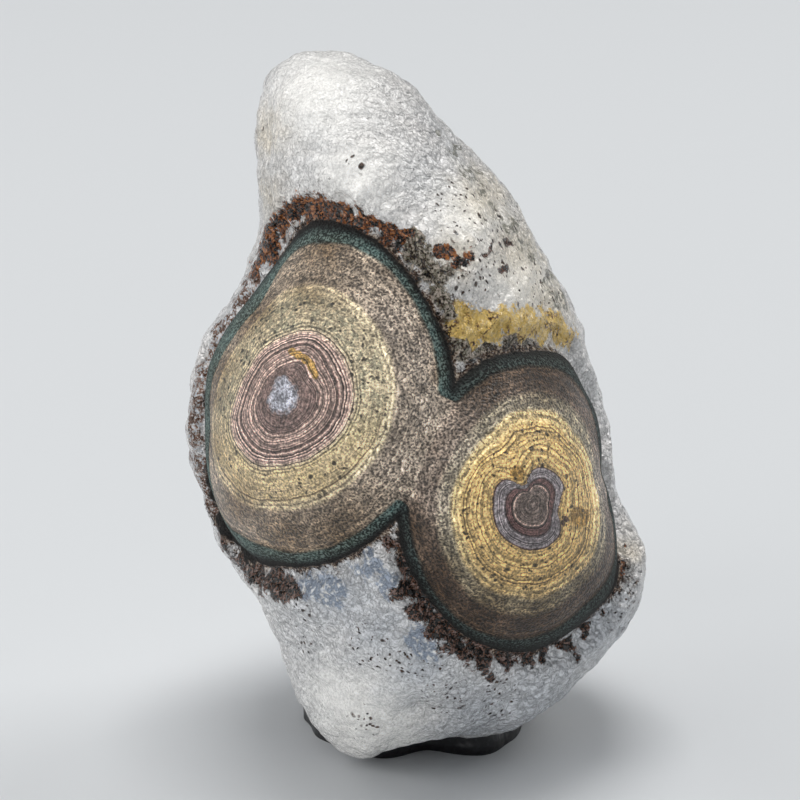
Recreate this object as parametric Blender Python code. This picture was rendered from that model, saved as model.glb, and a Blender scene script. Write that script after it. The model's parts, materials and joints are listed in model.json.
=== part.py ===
"""Eye agate standing on a pressed pad of black putty.

The stone is drawn as its show face is seen: u across it, v up it and w into the stone, in
millimetres. The face leans back, so u, v and w are turned by LEAN when the stone is placed.
Its plain form is a stack of level ovals between four smooth lines: left, right, front and
back. Two ringed eyes swell out of that form, and a thicker white crust breaks off round them.
"""

import math

import bmesh
import bpy
import numpy as np
from mathutils import Vector, noise

MM = 0.001
LEVEL = 0.01  # a height of a unit ball that still counts as its equator

# The plain form of the stone: (v, u) or (v, w) down each line, from the top to the bottom
LEAN = math.radians(15.0)
LEFT_LINE = (
    (22.6, -6.5), (22.0, -8.7), (19.9, -10.1), (16.4, -10.4), (12.9, -10.1), (10.6, -10.2),
    (7.8, -11.4), (4.4, -13.6), (1.0, -14.8), (-1.6, -14.8), (-5.5, -14.2), (-8.4, -13.2),
    (-11.4, -11.4), (-14.3, -9.8), (-17.3, -8.5), (-20.1, -7.0), (-21.9, -5.0), (-22.6, -2.6),
)
RIGHT_LINE = (
    (22.6, -6.5), (22.0, -4.0), (20.7, -1.2), (18.3, 1.3), (15.4, 4.2), (12.5, 6.5),
    (9.2, 8.5), (6.0, 10.1), (3.1, 11.2), (1.2, 11.8), (-2.2, 12.6), (-4.9, 13.1),
    (-7.8, 13.9), (-10.3, 14.6), (-12.5, 14.6), (-14.4, 13.6), (-16.3, 11.8), (-19.0, 9.5),
    (-20.5, 7.6), (-21.3, 5.4), (-21.8, 2.2), (-22.2, -0.4), (-22.6, -2.6),
)
FRONT_LINE = (
    (22.6, 5.0), (20.5, -1.0), (17.0, -4.6), (12.0, -7.8), (6.0, -11.2), (0.0, -13.5),
    (-6.0, -14.1), (-11.0, -12.8), (-16.0, -10.0), (-20.0, -6.8), (-22.6, -2.0),
)
BACK_LINE = (
    (22.6, 5.0), (20.5, 11.0), (17.0, 15.2), (11.0, 19.8), (4.0, 23.4), (-3.0, 24.4),
    (-9.0, 22.6), (-14.0, 18.2), (-17.8, 12.0), (-20.2, 5.4), (-21.7, 0.8), (-22.6, -2.0),
)

# The eyes: centre and rim as they show on the face from VIEW_DISTANCE away, and their roundness
VIEW_DISTANCE = 300.0
SIGHT_ROUNDS = 4
NEAR_EDGE = 0.99
LEFT_EYE = (-8.6, 0.8)
LEFT_RIM = (
    (-9.4, 9.8), (-7.3, 11.5), (-4.6, 11.6), (-2.2, 10.2), (0.0, 7.6), (1.3, 4.4),
    (2.2, 0.3), (2.1, -2.3), (1.3, -4.5), (-0.9, -7.0), (-4.9, -9.6), (-8.5, -10.4),
    (-11.4, -8.9), (-13.0, -6.4), (-13.7, -2.4), (-13.6, 0.7), (-12.8, 4.2), (-11.1, 7.2),
)
RIGHT_EYE = (7.4, -6.4)
RIGHT_RIM = (
    (1.5, 0.6), (4.1, 2.8), (6.9, 3.5), (9.6, 2.6), (11.4, 0.1), (12.4, -3.7),
    (13.2, -7.2), (12.9, -10.4), (11.0, -13.7), (7.9, -15.8), (4.1, -15.4), (1.2, -12.7),
    (-0.6, -9.3), (-1.3, -5.8), (-1.1, -3.2), (0.0, -1.2),
)
EYE_ROUND = 15.5
EYE_SWELL = 2.0
SWELL_SHAPE = 0.8

# The crust: how far it stands above the foot of the eyes, and how ragged its broken edge is
LEDGE = 0.8
LEDGE_SLOPE = 1.6
LEDGE_START = 0.3
LEDGE_RAGGED = 0.8
LUMP_SIZE = 5.0
LUMP_HEIGHT = 0.56
PIMPLE_SIZE = 2.1
PIMPLE_HEIGHT = 0.26

# Single lumps and hollows of the crust: (u, v) on the show face, reach and height
SWELLINGS = (
    (-4.5, 13.2, 3.6, 0.7),
    (2.2, 10.8, 3.0, 0.5),
    (-3.6, -18.0, 5.0, 0.8),
    (-1.6, -13.2, 2.6, 0.5),
    (0.4, -19.5, 1.7, -0.7),
    (0.7, -22.0, 1.8, -0.8),
    (9.0, -17.8, 3.0, 0.4),
    (3.9, 5.2, 1.8, -0.5),
    (13.0, -4.6, 1.8, -0.8),
    (13.6, -9.8, 3.5, 0.5),
)

# The stone's mesh: squares along each side of its six grids, and their drift to the front
STONE_GRID = 27
FRONT_DRIFT = 0.33

# The putty pad: its middle and floor outline as (turn in degrees, radius), height and bulge
FLOOR = -23.7
PAD_MIDDLE = (-0.3, 6.4)
PAD_OUTLINE = (
    (0, 7.4), (30, 7.5), (60, 7.7), (90, 8.0), (120, 7.9), (150, 7.5), (180, 7.2),
    (210, 7.2), (236, 7.7), (256, 7.0), (275, 6.1), (295, 7.3), (318, 7.9), (340, 7.6),
)
PAD_HEIGHT = 4.4
PAD_BULGE = 0.6
PAD_FOOT = 0.93
PAD_DENTS = 0.3
PAD_SIDES = 44
PAD_LEVELS = 16
GAP = 0.3

# The u and w of the middle of the whole piece, which stands over the origin
CENTRE = (0.0, 4.8)

STONE_COLOUR = (0.62, 0.60, 0.56)
PUTTY_COLOUR = (0.018, 0.018, 0.02)


def smooth_line(at, places, values):
    """Read a smooth curve through the given values at the given rising places."""
    slopes = np.gradient(values, places)
    left = np.clip(np.searchsorted(places, at) - 1, 0, len(places) - 2)
    span = places[left + 1] - places[left]
    t = np.clip((at - places[left]) / span, 0.0, 1.0)
    start = (1 + 2 * t) * (1 - t) ** 2 * values[left] + t * (1 - t) ** 2 * span * slopes[left]
    end = t**2 * (3 - 2 * t) * values[left + 1] + t**2 * (t - 1) * span * slopes[left + 1]
    return start + end


def smooth_loop(turns, places, values):
    """Read a smooth closed curve through values given round a full turn, in radians."""
    order = np.argsort(places)
    places, values = places[order], values[order]
    whole = 2 * math.pi
    around = np.concatenate((places[-3:] - whole, places, places[:3] + whole))
    return smooth_line(turns, around, np.concatenate((values[-3:], values, values[:3])))


def smooth_step(value):
    """Ease from 0 to 1 as the value goes from 0 to 1."""
    t = np.clip(value, 0.0, 1.0)
    return t * t * (3 - 2 * t)


TOP, BOTTOM = LEFT_LINE[0][0], LEFT_LINE[-1][0]
MIDDLE, HALF = (TOP + BOTTOM) / 2, (TOP - BOTTOM) / 2


def side_line(line, height):
    """How far a line of the stone lies out at each height, from -1 at the foot to 1 on top.

    The line is read as a swelling of a ball, so it closes roundly at both ends.
    """
    levels = (np.array([v for v, _ in line[::-1]]) - MIDDLE) / HALF
    outs = np.array([out for _, out in line[::-1]])
    spine = np.interp(levels, (-1.0, 1.0), (outs[0], outs[-1]))
    ball = np.sqrt(1 - levels[1:-1] ** 2)
    swell = smooth_line(height, levels[1:-1], (outs - spine)[1:-1] / ball)
    return np.interp(height, (-1.0, 1.0), (outs[0], outs[-1])), swell


def oval(height):
    """Middle and half sizes of the level oval at each height, for a ball radius of one."""
    spine_u, left = side_line(LEFT_LINE, height)
    _, right = side_line(RIGHT_LINE, height)
    spine_w, front = side_line(FRONT_LINE, height)
    _, back = side_line(BACK_LINE, height)
    ball = np.sqrt(np.clip(1 - height**2, 0.0, 1.0))
    middle_u = spine_u + ball * (right + left) / 2
    middle_w = spine_w + ball * (back + front) / 2
    return middle_u, (right - left) / 2, middle_w, (back - front) / 2


def placed(u, v, w):
    """Turn a place on the leaning show face into a place above the floor."""
    x = u - CENTRE[0]
    y = w * math.cos(LEAN) - CENTRE[1]
    z = v / math.cos(LEAN) - w * math.sin(LEAN) - FLOOR
    return np.stack((x, y, z), axis=-1)


def plain_stone(ball):
    """Carry points of a unit ball to the plain form of the stone."""
    height = ball[:, 2]
    middle_u, half_u, middle_w, half_w = oval(height)
    u = middle_u + half_u * ball[:, 0]
    w = middle_w + half_w * ball[:, 1]
    return placed(u, MIDDLE + HALF * height, w)


def show_face(seen_u, seen_v):
    """The point of the plain form that shows at (u, v) on the face from VIEW_DISTANCE away."""
    seen_u, seen_v = np.asarray(seen_u, dtype=float), np.asarray(seen_v, dtype=float)
    u, v = seen_u, seen_v
    for _ in range(SIGHT_ROUNDS):
        height = np.clip((v - MIDDLE) / HALF, -NEAR_EDGE, NEAR_EDGE)
        middle_u, half_u, middle_w, half_w = oval(height)
        ball = np.sqrt(1 - height**2)
        across = np.clip((u - middle_u) / (half_u * ball), -NEAR_EDGE, NEAR_EDGE)
        w = middle_w - half_w * ball * np.sqrt(1 - across**2)
        nearness = 1 + (w - v * math.tan(LEAN)) / VIEW_DISTANCE
        u, v = seen_u * nearness, seen_v * nearness
    return placed(middle_u + half_u * ball * across, MIDDLE + HALF * height, w)


class Eye:
    """One ringed eye: its rings are counted from 0 at the pupil to 1 at the rim."""

    def __init__(self, centre, rim):
        u, v = centre
        step = 0.5
        middle = show_face(u, v)
        rise = show_face(u, v + step) - show_face(u, v - step)
        run = show_face(u + step, v) - show_face(u - step, v)
        out = np.cross(run, rise)
        self.out = out / np.linalg.norm(out)
        self.across = run / np.linalg.norm(run)
        self.up = np.cross(self.out, self.across)
        self.core = middle - EYE_ROUND * self.out
        rim = np.array(rim)
        self.rim_turns, self.rim_reach = self.polar(show_face(rim[:, 0], rim[:, 1]))

    def polar(self, points):
        """Turn round the pupil, and reach from it along the swelling in millimetres."""
        rays = points - self.core
        rays = rays / np.linalg.norm(rays, axis=-1, keepdims=True)
        reach = EYE_ROUND * np.arccos(np.clip(rays @ self.out, -1.0, 1.0))
        return np.arctan2(rays @ self.up, rays @ self.across), reach

    def rings(self, points):
        """Ring count of each point, and its distance outside the rim in millimetres."""
        turns, reach = self.polar(points)
        rim = smooth_loop(turns, self.rim_turns, self.rim_reach)
        return reach / rim, reach - rim


def rough(points, size):
    """Smooth random lumps of a given size, from about -0.7 to 0.7."""
    return np.array([noise.noise(Vector(point) / size) for point in points])


def relief(points):
    """How far the finished stone stands out from its plain form, in millimetres."""
    left, left_gap = Eye(LEFT_EYE, LEFT_RIM).rings(points)
    right, right_gap = Eye(RIGHT_EYE, RIGHT_RIM).rings(points)
    swell = np.clip(np.maximum(1 - left**2, 1 - right**2), 0, 1) ** SWELL_SHAPE
    edge = LEDGE_START + LEDGE_RAGGED * rough(points, PIMPLE_SIZE)
    crust = smooth_step((np.minimum(left_gap, right_gap) - edge) / LEDGE_SLOPE)
    lumps = LUMP_HEIGHT * rough(points, LUMP_SIZE) + PIMPLE_HEIGHT * rough(points, PIMPLE_SIZE)
    for u, v, reach, height in SWELLINGS:
        away = np.linalg.norm(points - show_face(u, v), axis=1) / reach
        lumps = lumps + height * np.exp(-(away**2))
    return EYE_SWELL * swell - LEDGE * (1 - crust) + lumps * crust


def unit_ball(grid, drift):
    """A closed ball of six square grids, its points drawn towards the front."""
    ball = bmesh.new()
    bmesh.ops.create_cube(ball, size=2.0)
    bmesh.ops.subdivide_edges(ball, edges=ball.edges[:], cuts=grid - 1, use_grid_fill=True)
    quarter = math.pi / 4
    for vert in ball.verts:
        even = Vector([math.tan(quarter * c) for c in vert.co]).normalized()
        vert.co = (even - Vector((0, drift, 0))).normalized()
    return ball


def set_points(mesh, points):
    """Move a mesh's points to places given in millimetres."""
    mesh.vertices.foreach_set("co", (points * MM).ravel())
    mesh.update()


def get_points(mesh):
    """A mesh's points in its own units."""
    flat = np.empty(len(mesh.vertices) * 3)
    mesh.vertices.foreach_get("co", flat)
    return flat.reshape(-1, 3)


def get_normals(mesh):
    """A mesh's outward directions at its points."""
    flat = np.empty(len(mesh.vertices) * 3)
    mesh.vertex_normals.foreach_get("vector", flat)
    return flat.reshape(-1, 3)


def material(name, colour, roughness):
    """A plain material of one colour."""
    made = bpy.data.materials.new(name)
    made.use_nodes = True
    surface = made.node_tree.nodes["Principled BSDF"]
    surface.inputs["Base Color"].default_value = (*colour, 1.0)
    surface.inputs["Roughness"].default_value = roughness
    surface.inputs["Metallic"].default_value = 0.0
    return made


def add_object(name, shape, collection, surface):
    """Turn a bmesh into a smooth shaded object."""
    mesh = bpy.data.meshes.new(name)
    shape.to_mesh(mesh)
    shape.free()
    mesh.materials.append(surface)
    mesh.shade_smooth()
    made = bpy.data.objects.new(name, mesh)
    collection.objects.link(made)
    return made


def make_agate(collection):
    """The stone: the plain form with its eyes, crust ledges and lumps raised on it."""
    surface = material("agate", STONE_COLOUR, 0.35)
    stone = add_object("agate", unit_ball(STONE_GRID, FRONT_DRIFT), collection, surface)
    mesh = stone.data
    points = plain_stone(get_points(mesh))
    set_points(mesh, points)
    set_points(mesh, points + get_normals(mesh) * relief(points)[:, None])
    facets = bmesh.new()
    facets.from_mesh(mesh)
    bmesh.ops.triangulate(facets, faces=facets.faces[:], quad_method="SHORT_EDGE")
    facets.to_mesh(mesh)
    facets.free()
    return stone


def make_stone_cutter(stone, collection):
    """The stone grown by the gap, which presses its hollow into the pad."""
    cutter = stone.copy()
    cutter.data = stone.data.copy()
    cutter.name = "stone_print"
    mesh = cutter.data
    set_points(mesh, get_points(mesh) / MM + get_normals(mesh) * GAP)
    cutter.hide_render = True
    cutter.display_type = "WIRE"
    collection.objects.link(cutter)
    return cutter


def make_putty_pad(collection, cutter):
    """The pad: a low pressed lump with a flat foot and the stone's print in its top."""
    lump = bmesh.new()
    bmesh.ops.create_uvsphere(lump, u_segments=PAD_SIDES, v_segments=PAD_LEVELS, radius=1.0)
    turns = np.radians([turn for turn, _ in PAD_OUTLINE])
    radii = np.array([radius for _, radius in PAD_OUTLINE], dtype=float)
    for vert in lump.verts:
        turn = math.atan2(vert.co.y, vert.co.x) % (2 * math.pi)
        out = math.hypot(vert.co.x, vert.co.y)
        edge = float(smooth_loop(np.array([turn]), turns, radii)[0])
        rise = max(vert.co.z, 0.0) ** PAD_BULGE
        radius = edge * out * (PAD_FOOT if vert.co.z < -LEVEL else 1.0)
        x = PAD_MIDDLE[0] - CENTRE[0] + radius * math.cos(turn)
        y = PAD_MIDDLE[1] - CENTRE[1] + radius * math.sin(turn)
        dent = 1 + PAD_DENTS * noise.noise(Vector((x, y, 0)) / PIMPLE_SIZE)
        vert.co = Vector((x, y, PAD_HEIGHT * rise * dent)) * MM
    pad = add_object("putty_pad", lump, collection, material("putty", PUTTY_COLOUR, 0.45))
    press = pad.modifiers.new("stone print", "BOOLEAN")
    press.operation = "DIFFERENCE"
    press.object = cutter
    return pad


def main():
    """Clear the scene and build the stone on its pad."""
    for old in list(bpy.data.objects):
        bpy.data.objects.remove(old)
    parts = bpy.data.collections.new("eye_agate")
    cutters = bpy.data.collections.new("cutters")
    bpy.context.scene.collection.children.link(parts)
    bpy.context.scene.collection.children.link(cutters)
    stone = make_agate(parts)
    make_putty_pad(parts, make_stone_cutter(stone, cutters))


main()
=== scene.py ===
"""Looks of an eye agate on its pad of black putty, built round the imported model.

The stone is drawn as its show face is seen: u across it, v up it, in millimetres. Its plain
form is a stack of level ovals between four smooth lines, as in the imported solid, on a mesh fine
enough for the broken edge and the pebbles of the crust. Each eye is a set of closed rings: the
outlines below say how far out each ring runs, turn by turn, and the material paints the bands
between them. Stains of the crust are soft round spots, joined where they overlap.
"""

import json
import math

import bmesh
import bpy
import numpy as np
from bpy.props import FloatProperty, FloatVectorProperty, IntProperty, PointerProperty
from bpy.types import Operator, Panel, PropertyGroup
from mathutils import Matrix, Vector, noise
from mathutils.bvhtree import BVHTree

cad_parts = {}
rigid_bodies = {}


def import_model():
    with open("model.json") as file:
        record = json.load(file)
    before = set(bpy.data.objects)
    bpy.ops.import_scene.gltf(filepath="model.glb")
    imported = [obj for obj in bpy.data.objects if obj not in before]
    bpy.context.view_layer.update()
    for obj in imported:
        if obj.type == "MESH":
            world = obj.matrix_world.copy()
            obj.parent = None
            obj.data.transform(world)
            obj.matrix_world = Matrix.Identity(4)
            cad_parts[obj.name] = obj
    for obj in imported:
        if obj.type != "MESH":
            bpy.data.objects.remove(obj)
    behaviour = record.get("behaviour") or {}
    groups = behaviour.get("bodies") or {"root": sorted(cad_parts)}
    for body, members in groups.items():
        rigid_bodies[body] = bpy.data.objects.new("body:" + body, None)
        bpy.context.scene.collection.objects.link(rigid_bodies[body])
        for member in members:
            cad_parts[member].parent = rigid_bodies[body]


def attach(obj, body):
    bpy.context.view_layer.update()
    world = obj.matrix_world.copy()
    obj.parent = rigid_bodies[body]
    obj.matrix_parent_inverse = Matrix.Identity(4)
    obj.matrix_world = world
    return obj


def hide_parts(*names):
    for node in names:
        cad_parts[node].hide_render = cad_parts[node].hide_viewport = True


for old in list(bpy.data.objects):
    bpy.data.objects.remove(old)
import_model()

bl_info = {
    "name": "Eye Agate Looks",
    "version": (1, 0, 0),
    "blender": (4, 5, 0),
    "location": "3D View > Sidebar > Eye Agate",
    "description": "Builds the ringed stone, its crumbs, its putty pad and its photo stage",
    "category": "Object",
}

MM = 0.001
FULL_TURN = 2 * math.pi

# The plain form of the stone: (v, u) or (v, w) down each line, from the top to the bottom
LEAN = math.radians(15.0)
FLOOR = -23.7
CENTRE = (0.0, 4.8)
LEFT_LINE = (
    (22.6, -6.5), (22.0, -8.7), (19.9, -10.1), (16.4, -10.4), (12.9, -10.1), (10.6, -10.2),
    (7.8, -11.4), (4.4, -13.6), (1.0, -14.8), (-1.6, -14.8), (-5.5, -14.2), (-8.4, -13.2),
    (-11.4, -11.4), (-14.3, -9.8), (-17.3, -8.5), (-20.1, -7.0), (-21.9, -5.0), (-22.6, -2.6),
)
RIGHT_LINE = (
    (22.6, -6.5), (22.0, -4.0), (20.7, -1.2), (18.3, 1.3), (15.4, 4.2), (12.5, 6.5),
    (9.2, 8.5), (6.0, 10.1), (3.1, 11.2), (1.2, 11.8), (-2.2, 12.6), (-4.9, 13.1),
    (-7.8, 13.9), (-10.3, 14.6), (-12.5, 14.6), (-14.4, 13.6), (-16.3, 11.8), (-19.0, 9.5),
    (-20.5, 7.6), (-21.3, 5.4), (-21.8, 2.2), (-22.2, -0.4), (-22.6, -2.6),
)
FRONT_LINE = (
    (22.6, 5.0), (20.5, -1.0), (17.0, -4.6), (12.0, -7.8), (6.0, -11.2), (0.0, -13.5),
    (-6.0, -14.1), (-11.0, -12.8), (-16.0, -10.0), (-20.0, -6.8), (-22.6, -2.0),
)
BACK_LINE = (
    (22.6, 5.0), (20.5, 11.0), (17.0, 15.2), (11.0, 19.8), (4.0, 23.4), (-3.0, 24.4),
    (-9.0, 22.6), (-14.0, 18.2), (-17.8, 12.0), (-20.2, 5.4), (-21.7, 0.8), (-22.6, -2.0),
)

# The view: how far the camera stands from the middle of the show face
VIEW_DISTANCE = 300.0

# Reading the show face: rounds that home in on a point, and where the edges are cut off
SIGHT_ROUNDS = 4
NEAR_EDGE = 0.99

# The eyes: centre and rim as they show on the face
LEFT_EYE = (-8.6, 0.8)
LEFT_RIM = (
    (-9.3, 9.0), (-7.3, 11.5), (-4.6, 11.6), (-2.2, 10.2), (0.0, 7.6), (1.7, 4.5),
    (2.5, 0.3), (2.2, -2.3), (1.3, -4.5), (-0.9, -7.0), (-4.9, -9.9), (-8.5, -10.4),
    (-11.4, -9.2), (-13.2, -6.4), (-13.8, -2.2), (-13.8, 0.8), (-13.5, 2.4), (-12.8, 4.3),
    (-11.7, 6.1), (-10.7, 7.4),
)
RIGHT_EYE = (7.4, -6.4)
RIGHT_RIM = (
    (1.5, 0.6), (4.1, 2.8), (6.9, 3.5), (9.6, 2.9), (10.6, 2.0), (11.45, 0.1),
    (11.8, -1.9), (12.05, -3.8), (12.2, -5.2), (12.8, -7.2), (12.9, -10.4), (11.0, -13.7),
    (7.9, -15.8), (4.1, -15.4), (1.0, -12.9), (-1.0, -9.4), (-1.3, -5.8), (-1.1, -3.2),
    (0.0, -1.2),
)

# How wide the band inside each rim may grow round the sides
LEFT_WIDEST = 5.8
RIGHT_WIDEST = 3.0

# The swelling of an eye: how round, high and full it is, and the half step that reads its tilt
EYE_ROUND = 15.5
EYE_SWELL = 2.0
SWELL_SHAPE = 0.8
SLOPE_STEP = 0.5

# Left eye: pupil, core, close lines, cream band and taupe band, as (turn in degrees, radius)
LEFT_RINGS = (
    ((0, 0.85), (60, 0.8), (90, 1.1), (120, 1.05), (150, 0.85), (180, 0.85), (210, 1.3),
     (240, 1.4), (270, 1.35), (300, 1.2), (330, 1.0)),
    ((0, 2.18), (30, 1.85), (60, 2.15), (90, 1.7), (120, 1.42), (150, 1.38), (180, 1.5),
     (210, 2.08), (240, 2.6), (270, 2.58), (300, 2.37), (330, 2.24)),
    ((0, 4.6), (30, 4.6), (60, 4.6), (90, 3.75), (120, 3.15), (150, 2.8), (180, 3.1),
     (195, 3.5), (210, 4.1), (240, 4.95), (270, 4.8), (300, 4.55), (330, 4.6)),
    ((0, 7.0), (30, 7.0), (60, 7.2), (75, 7.0), (90, 6.3), (105, 5.3), (120, 4.6),
     (150, 4.15), (180, 4.35), (210, 5.4), (225, 6.3), (240, 7.1), (270, 7.4), (300, 7.1),
     (330, 7.0)),
    ((0, 10.0), (30, 10.2), (60, 10.5), (75, 10.0), (90, 8.35), (105, 5.95), (120, 5.2),
     (150, 4.65), (180, 4.75), (210, 5.5), (225, 6.8), (240, 8.5), (255, 9.7), (270, 10.3),
     (300, 10.2), (330, 10.0)),
)

# Right eye: mauve disc, maroon ring, slate heart, golden band and brown band, likewise
RIGHT_RINGS = (
    ((0, 1.0), (30, 1.3), (60, 1.45), (90, 1.3), (112, 0.97), (135, 1.15), (150, 1.27),
     (180, 1.4), (210, 1.5), (240, 1.57), (270, 1.55), (300, 1.48), (330, 1.2)),
    ((0, 1.3), (30, 1.6), (60, 1.8), (90, 1.5), (112, 1.1), (135, 1.4), (150, 1.65),
     (180, 1.75), (210, 1.88), (240, 1.97), (270, 2.02), (300, 1.88), (330, 1.35)),
    ((0, 1.7), (15, 1.85), (30, 2.3), (45, 2.45), (60, 2.47), (75, 2.5), (88, 2.3),
     (100, 1.7), (112, 1.2), (125, 1.5), (137, 2.4), (150, 2.62), (180, 2.58), (210, 2.8),
     (240, 2.9), (270, 2.95), (300, 2.77), (315, 2.5), (330, 2.0), (345, 1.6)),
    ((0, 4.2), (30, 4.35), (45, 4.75), (60, 5.1), (75, 5.8), (90, 5.9), (105, 5.8),
     (120, 5.25), (135, 5.0), (150, 4.95), (180, 5.1), (210, 5.35), (225, 5.7), (240, 5.9),
     (270, 5.8), (300, 5.25), (330, 4.7)),
    ((0, 4.85), (15, 4.8), (30, 5.0), (45, 5.9), (60, 7.3), (70, 8.3), (80, 8.9), (90, 9.0),
     (105, 8.9), (120, 8.4), (150, 7.9), (180, 8.0), (210, 8.3), (225, 8.6), (240, 8.9),
     (255, 8.9), (270, 8.6), (285, 7.9), (300, 7.2), (315, 6.8), (330, 6.1), (345, 5.35)),
)

# The least width of a band, and how often the eyes are drawn anew on the finished surface
LEAST_BAND = 0.15
DRAWING_ROUNDS = 3

# The crust: how far it stands above the foot of the eyes, and how ragged its broken edge is
LEDGE = 0.8
LEDGE_SLOPE = 1.1
LEDGE_START = 0.3
LEDGE_RAGGED = 0.5
SPLINTER_SIZE = 0.7
SPLINTER_REACH = 0.35

# Lumps and pimples of the crust: their size and height
LUMP_SIZE = 5.0
LUMP_HEIGHT = 0.56
PIMPLE_SIZE = 2.1
PIMPLE_HEIGHT = 0.26

# Single lumps and hollows of the crust: (u, v) on the show face, reach and height
SWELLINGS = (
    (-4.5, 13.2, 3.6, 0.7),
    (2.2, 10.8, 3.0, 0.5),
    (-3.6, -18.0, 5.0, 0.7),
    (-2.9, -20.2, 2.4, 0.4),
    (5.0, -21.0, 2.2, -0.5),
    (-1.6, -13.2, 2.6, 0.5),
    (0.4, -19.5, 1.7, -0.7),
    (0.7, -22.0, 1.8, -0.8),
    (9.0, -17.8, 3.0, 0.4),
    (3.9, 5.2, 1.8, -0.5),
    (13.0, -4.6, 1.8, -0.4),
    (13.6, -9.8, 3.5, 0.5),
)

# Stains and tints of the crust, some of them partly painted light and shade: (u, v) on the show
# face, and the reach over which each fades
RUST_SPOTS = (
    (-10.2, 10.1, 0.8), (-11.8, 7.8, 0.5), (-9.6, 9.6, 0.7), (-10.4, 8.8, 0.6),
    (-9.5, 11.1, 0.8), (-8.7, 12.0, 0.9), (-7.6, 12.6, 1.0), (-6.5, 12.7, 0.95),
    (-5.4, 12.4, 0.85), (-4.3, 12.1, 0.85), (-3.2, 11.7, 0.85), (-2.1, 11.2, 0.8),
    (-1.2, 10.6, 0.7), (-9.4, 10.2, 0.5), (-8.4, 11.3, 0.6), (3.3, 9.7, 0.55),
    (2.2, 9.2, 0.5), (1.6, 9.9, 0.5), (-6.0, 12.0, 0.6), (-4.7, 11.9, 0.6),
    (-3.5, 11.3, 0.6), (13.4, -8.8, 0.3), (13.3, -10.6, 0.3), (-11.0, 8.9, 0.7),
)
OCHRE_SPOTS = (
    (2.0, 4.7, 1.2), (3.2, 4.8, 1.5), (4.7, 5.0, 1.5), (6.2, 5.1, 1.4), (7.7, 5.1, 1.3),
    (8.9, 4.9, 1.0), (2.2, 5.9, 0.9), (9.6, 4.2, 0.7), (2.6, 3.9, 0.8),
)
SOOT_SPOTS = (
    (0.2, 9.6, 1.1), (1.2, 8.4, 1.2), (0.4, 8.5, 0.9), (-0.5, 10.6, 0.8), (1.4, 7.0, 0.9),
    (2.0, 5.9, 0.7), (3.0, 3.2, 0.9), (2.4, 3.6, 0.8), (4.3, 3.5, 0.7), (6.0, 4.0, 0.5),
    (7.4, 3.9, 0.5), (2.6, 9.0, 0.6), (-10.8, 8.3, 0.4), (-13.8, -6.4, 0.5),
)
# A grey-green veil along the crease between the top and the right side, partly painted shade in
# the crease
GREY_SHADE_SPOTS = (
    (1.4, 17.4, 0.4), (2.4, 16.4, 0.45), (3.4, 15.0, 0.5), (4.2, 13.8, 0.5), (4.9, 12.5, 0.5),
    (5.8, 11.4, 0.5), (6.6, 10.3, 0.5), (7.5, 9.3, 0.5), (8.3, 8.0, 0.6), (9.1, 6.8, 0.7),
)
BLUE_SPOTS = (
    (-6.8, -11.7, 1.2), (-5.4, -11.9, 1.1), (-3.2, -10.4, 1.1), (0.2, -15.2, 1.1),
    (-2.0, -11.6, 0.8), (1.0, -15.8, 0.7),
)
BROWN_SPOTS = (
    (-12.9, -9.2, 0.9), (-11.8, -10.4, 1.0), (-10.5, -11.1, 1.0), (-9.1, -11.5, 1.0),
    (-8.1, -12.1, 0.8), (-13.9, -7.0, 0.7), (-1.7, -8.9, 0.7), (-1.1, -10.4, 0.9),
    (-0.6, -11.8, 1.0), (0.2, -13.1, 1.0), (1.1, -14.2, 1.1), (2.1, -15.2, 1.05),
    (3.3, -15.9, 0.95), (4.5, -16.2, 0.85), (5.6, -16.3, 0.7), (6.9, -16.1, 0.6),
    (8.2, -15.7, 0.6), (9.5, -15.2, 0.6), (10.7, -14.4, 0.5), (4.75, -17.4, 0.45),
    (9.95, -16.0, 0.4), (11.8, -13.3, 0.35), (12.7, -12.0, 0.3),
    (5.6, 10.4, 0.3), (5.5, 8.7, 0.3), (3.0, 9.0, 0.5), (4.5, 10.0, 0.4),
)
DOT_SPOTS = (
    (2.6, 12.6, 1.8), (4.6, 10.4, 1.8), (3.4, 8.4, 1.5), (7.0, 7.9, 1.6), (5.6, 12.6, 1.0),
    (8.6, 6.4, 1.2), (-3.6, 15.6, 0.6), (-9.9, 17.4, 0.8), (-3.0, -15.5, 1.4),
    (-0.9, -16.4, 1.3), (0.9, -17.3, 1.2), (-7.4, -15.4, 0.7), (1.6, -18.8, 1.2),
    (-3.4, -20.2, 1.0), (5.4, -18.6, 1.2), (12.9, -13.0, 1.4), (-8.0, -13.4, 0.9),
)
FLANK_SPOTS = (
    (-10.6, 8.0, 0.7), (-11.4, 6.7, 0.8), (-12.1, 5.6, 0.8), (-12.8, 4.6, 0.8),
    (-13.3, 3.4, 0.8), (-13.8, 2.2, 0.8), (-14.1, 1.1, 0.8), (-14.3, 0.0, 0.8),
    (-14.3, -1.2, 0.8), (-14.3, -2.4, 0.8), (-14.2, -3.7, 0.8), (-14.0, -5.0, 0.8),
    (-13.6, -6.4, 0.8),
)
CLEAN_SPOTS = (
    (10.9, 2.6, 1.3), (11.8, 0.6, 1.3), (12.4, -1.6, 1.3), (12.7, -3.6, 1.3), (13.0, -5.4, 1.1),
)
# Milk: the whitest crust; on the bottom lobe it is partly painted light, brighter than the lamps
# leave it
MILK_AND_LIGHT_SPOTS = (
    (-3.4, -20.2, 4.2), (-5.4, -18.6, 2.4), (-1.4, -21.4, 2.4), (-6.0, 20.0, 4.5),
    (-4.0, 15.0, 3.5), (3.0, 12.0, 3.0), (6.5, 8.0, 2.5),
)
WARM_SPOTS = (
    (6.6, 10.0, 2.6), (8.6, 6.8, 2.4), (4.2, 13.4, 2.0), (7.4, 4.6, 1.6), (-10.2, 13.4, 1.6),
    (-10.2, 17.4, 1.6), (13.2, -9.4, 1.2), (2.6, 9.6, 1.6),
)
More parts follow.
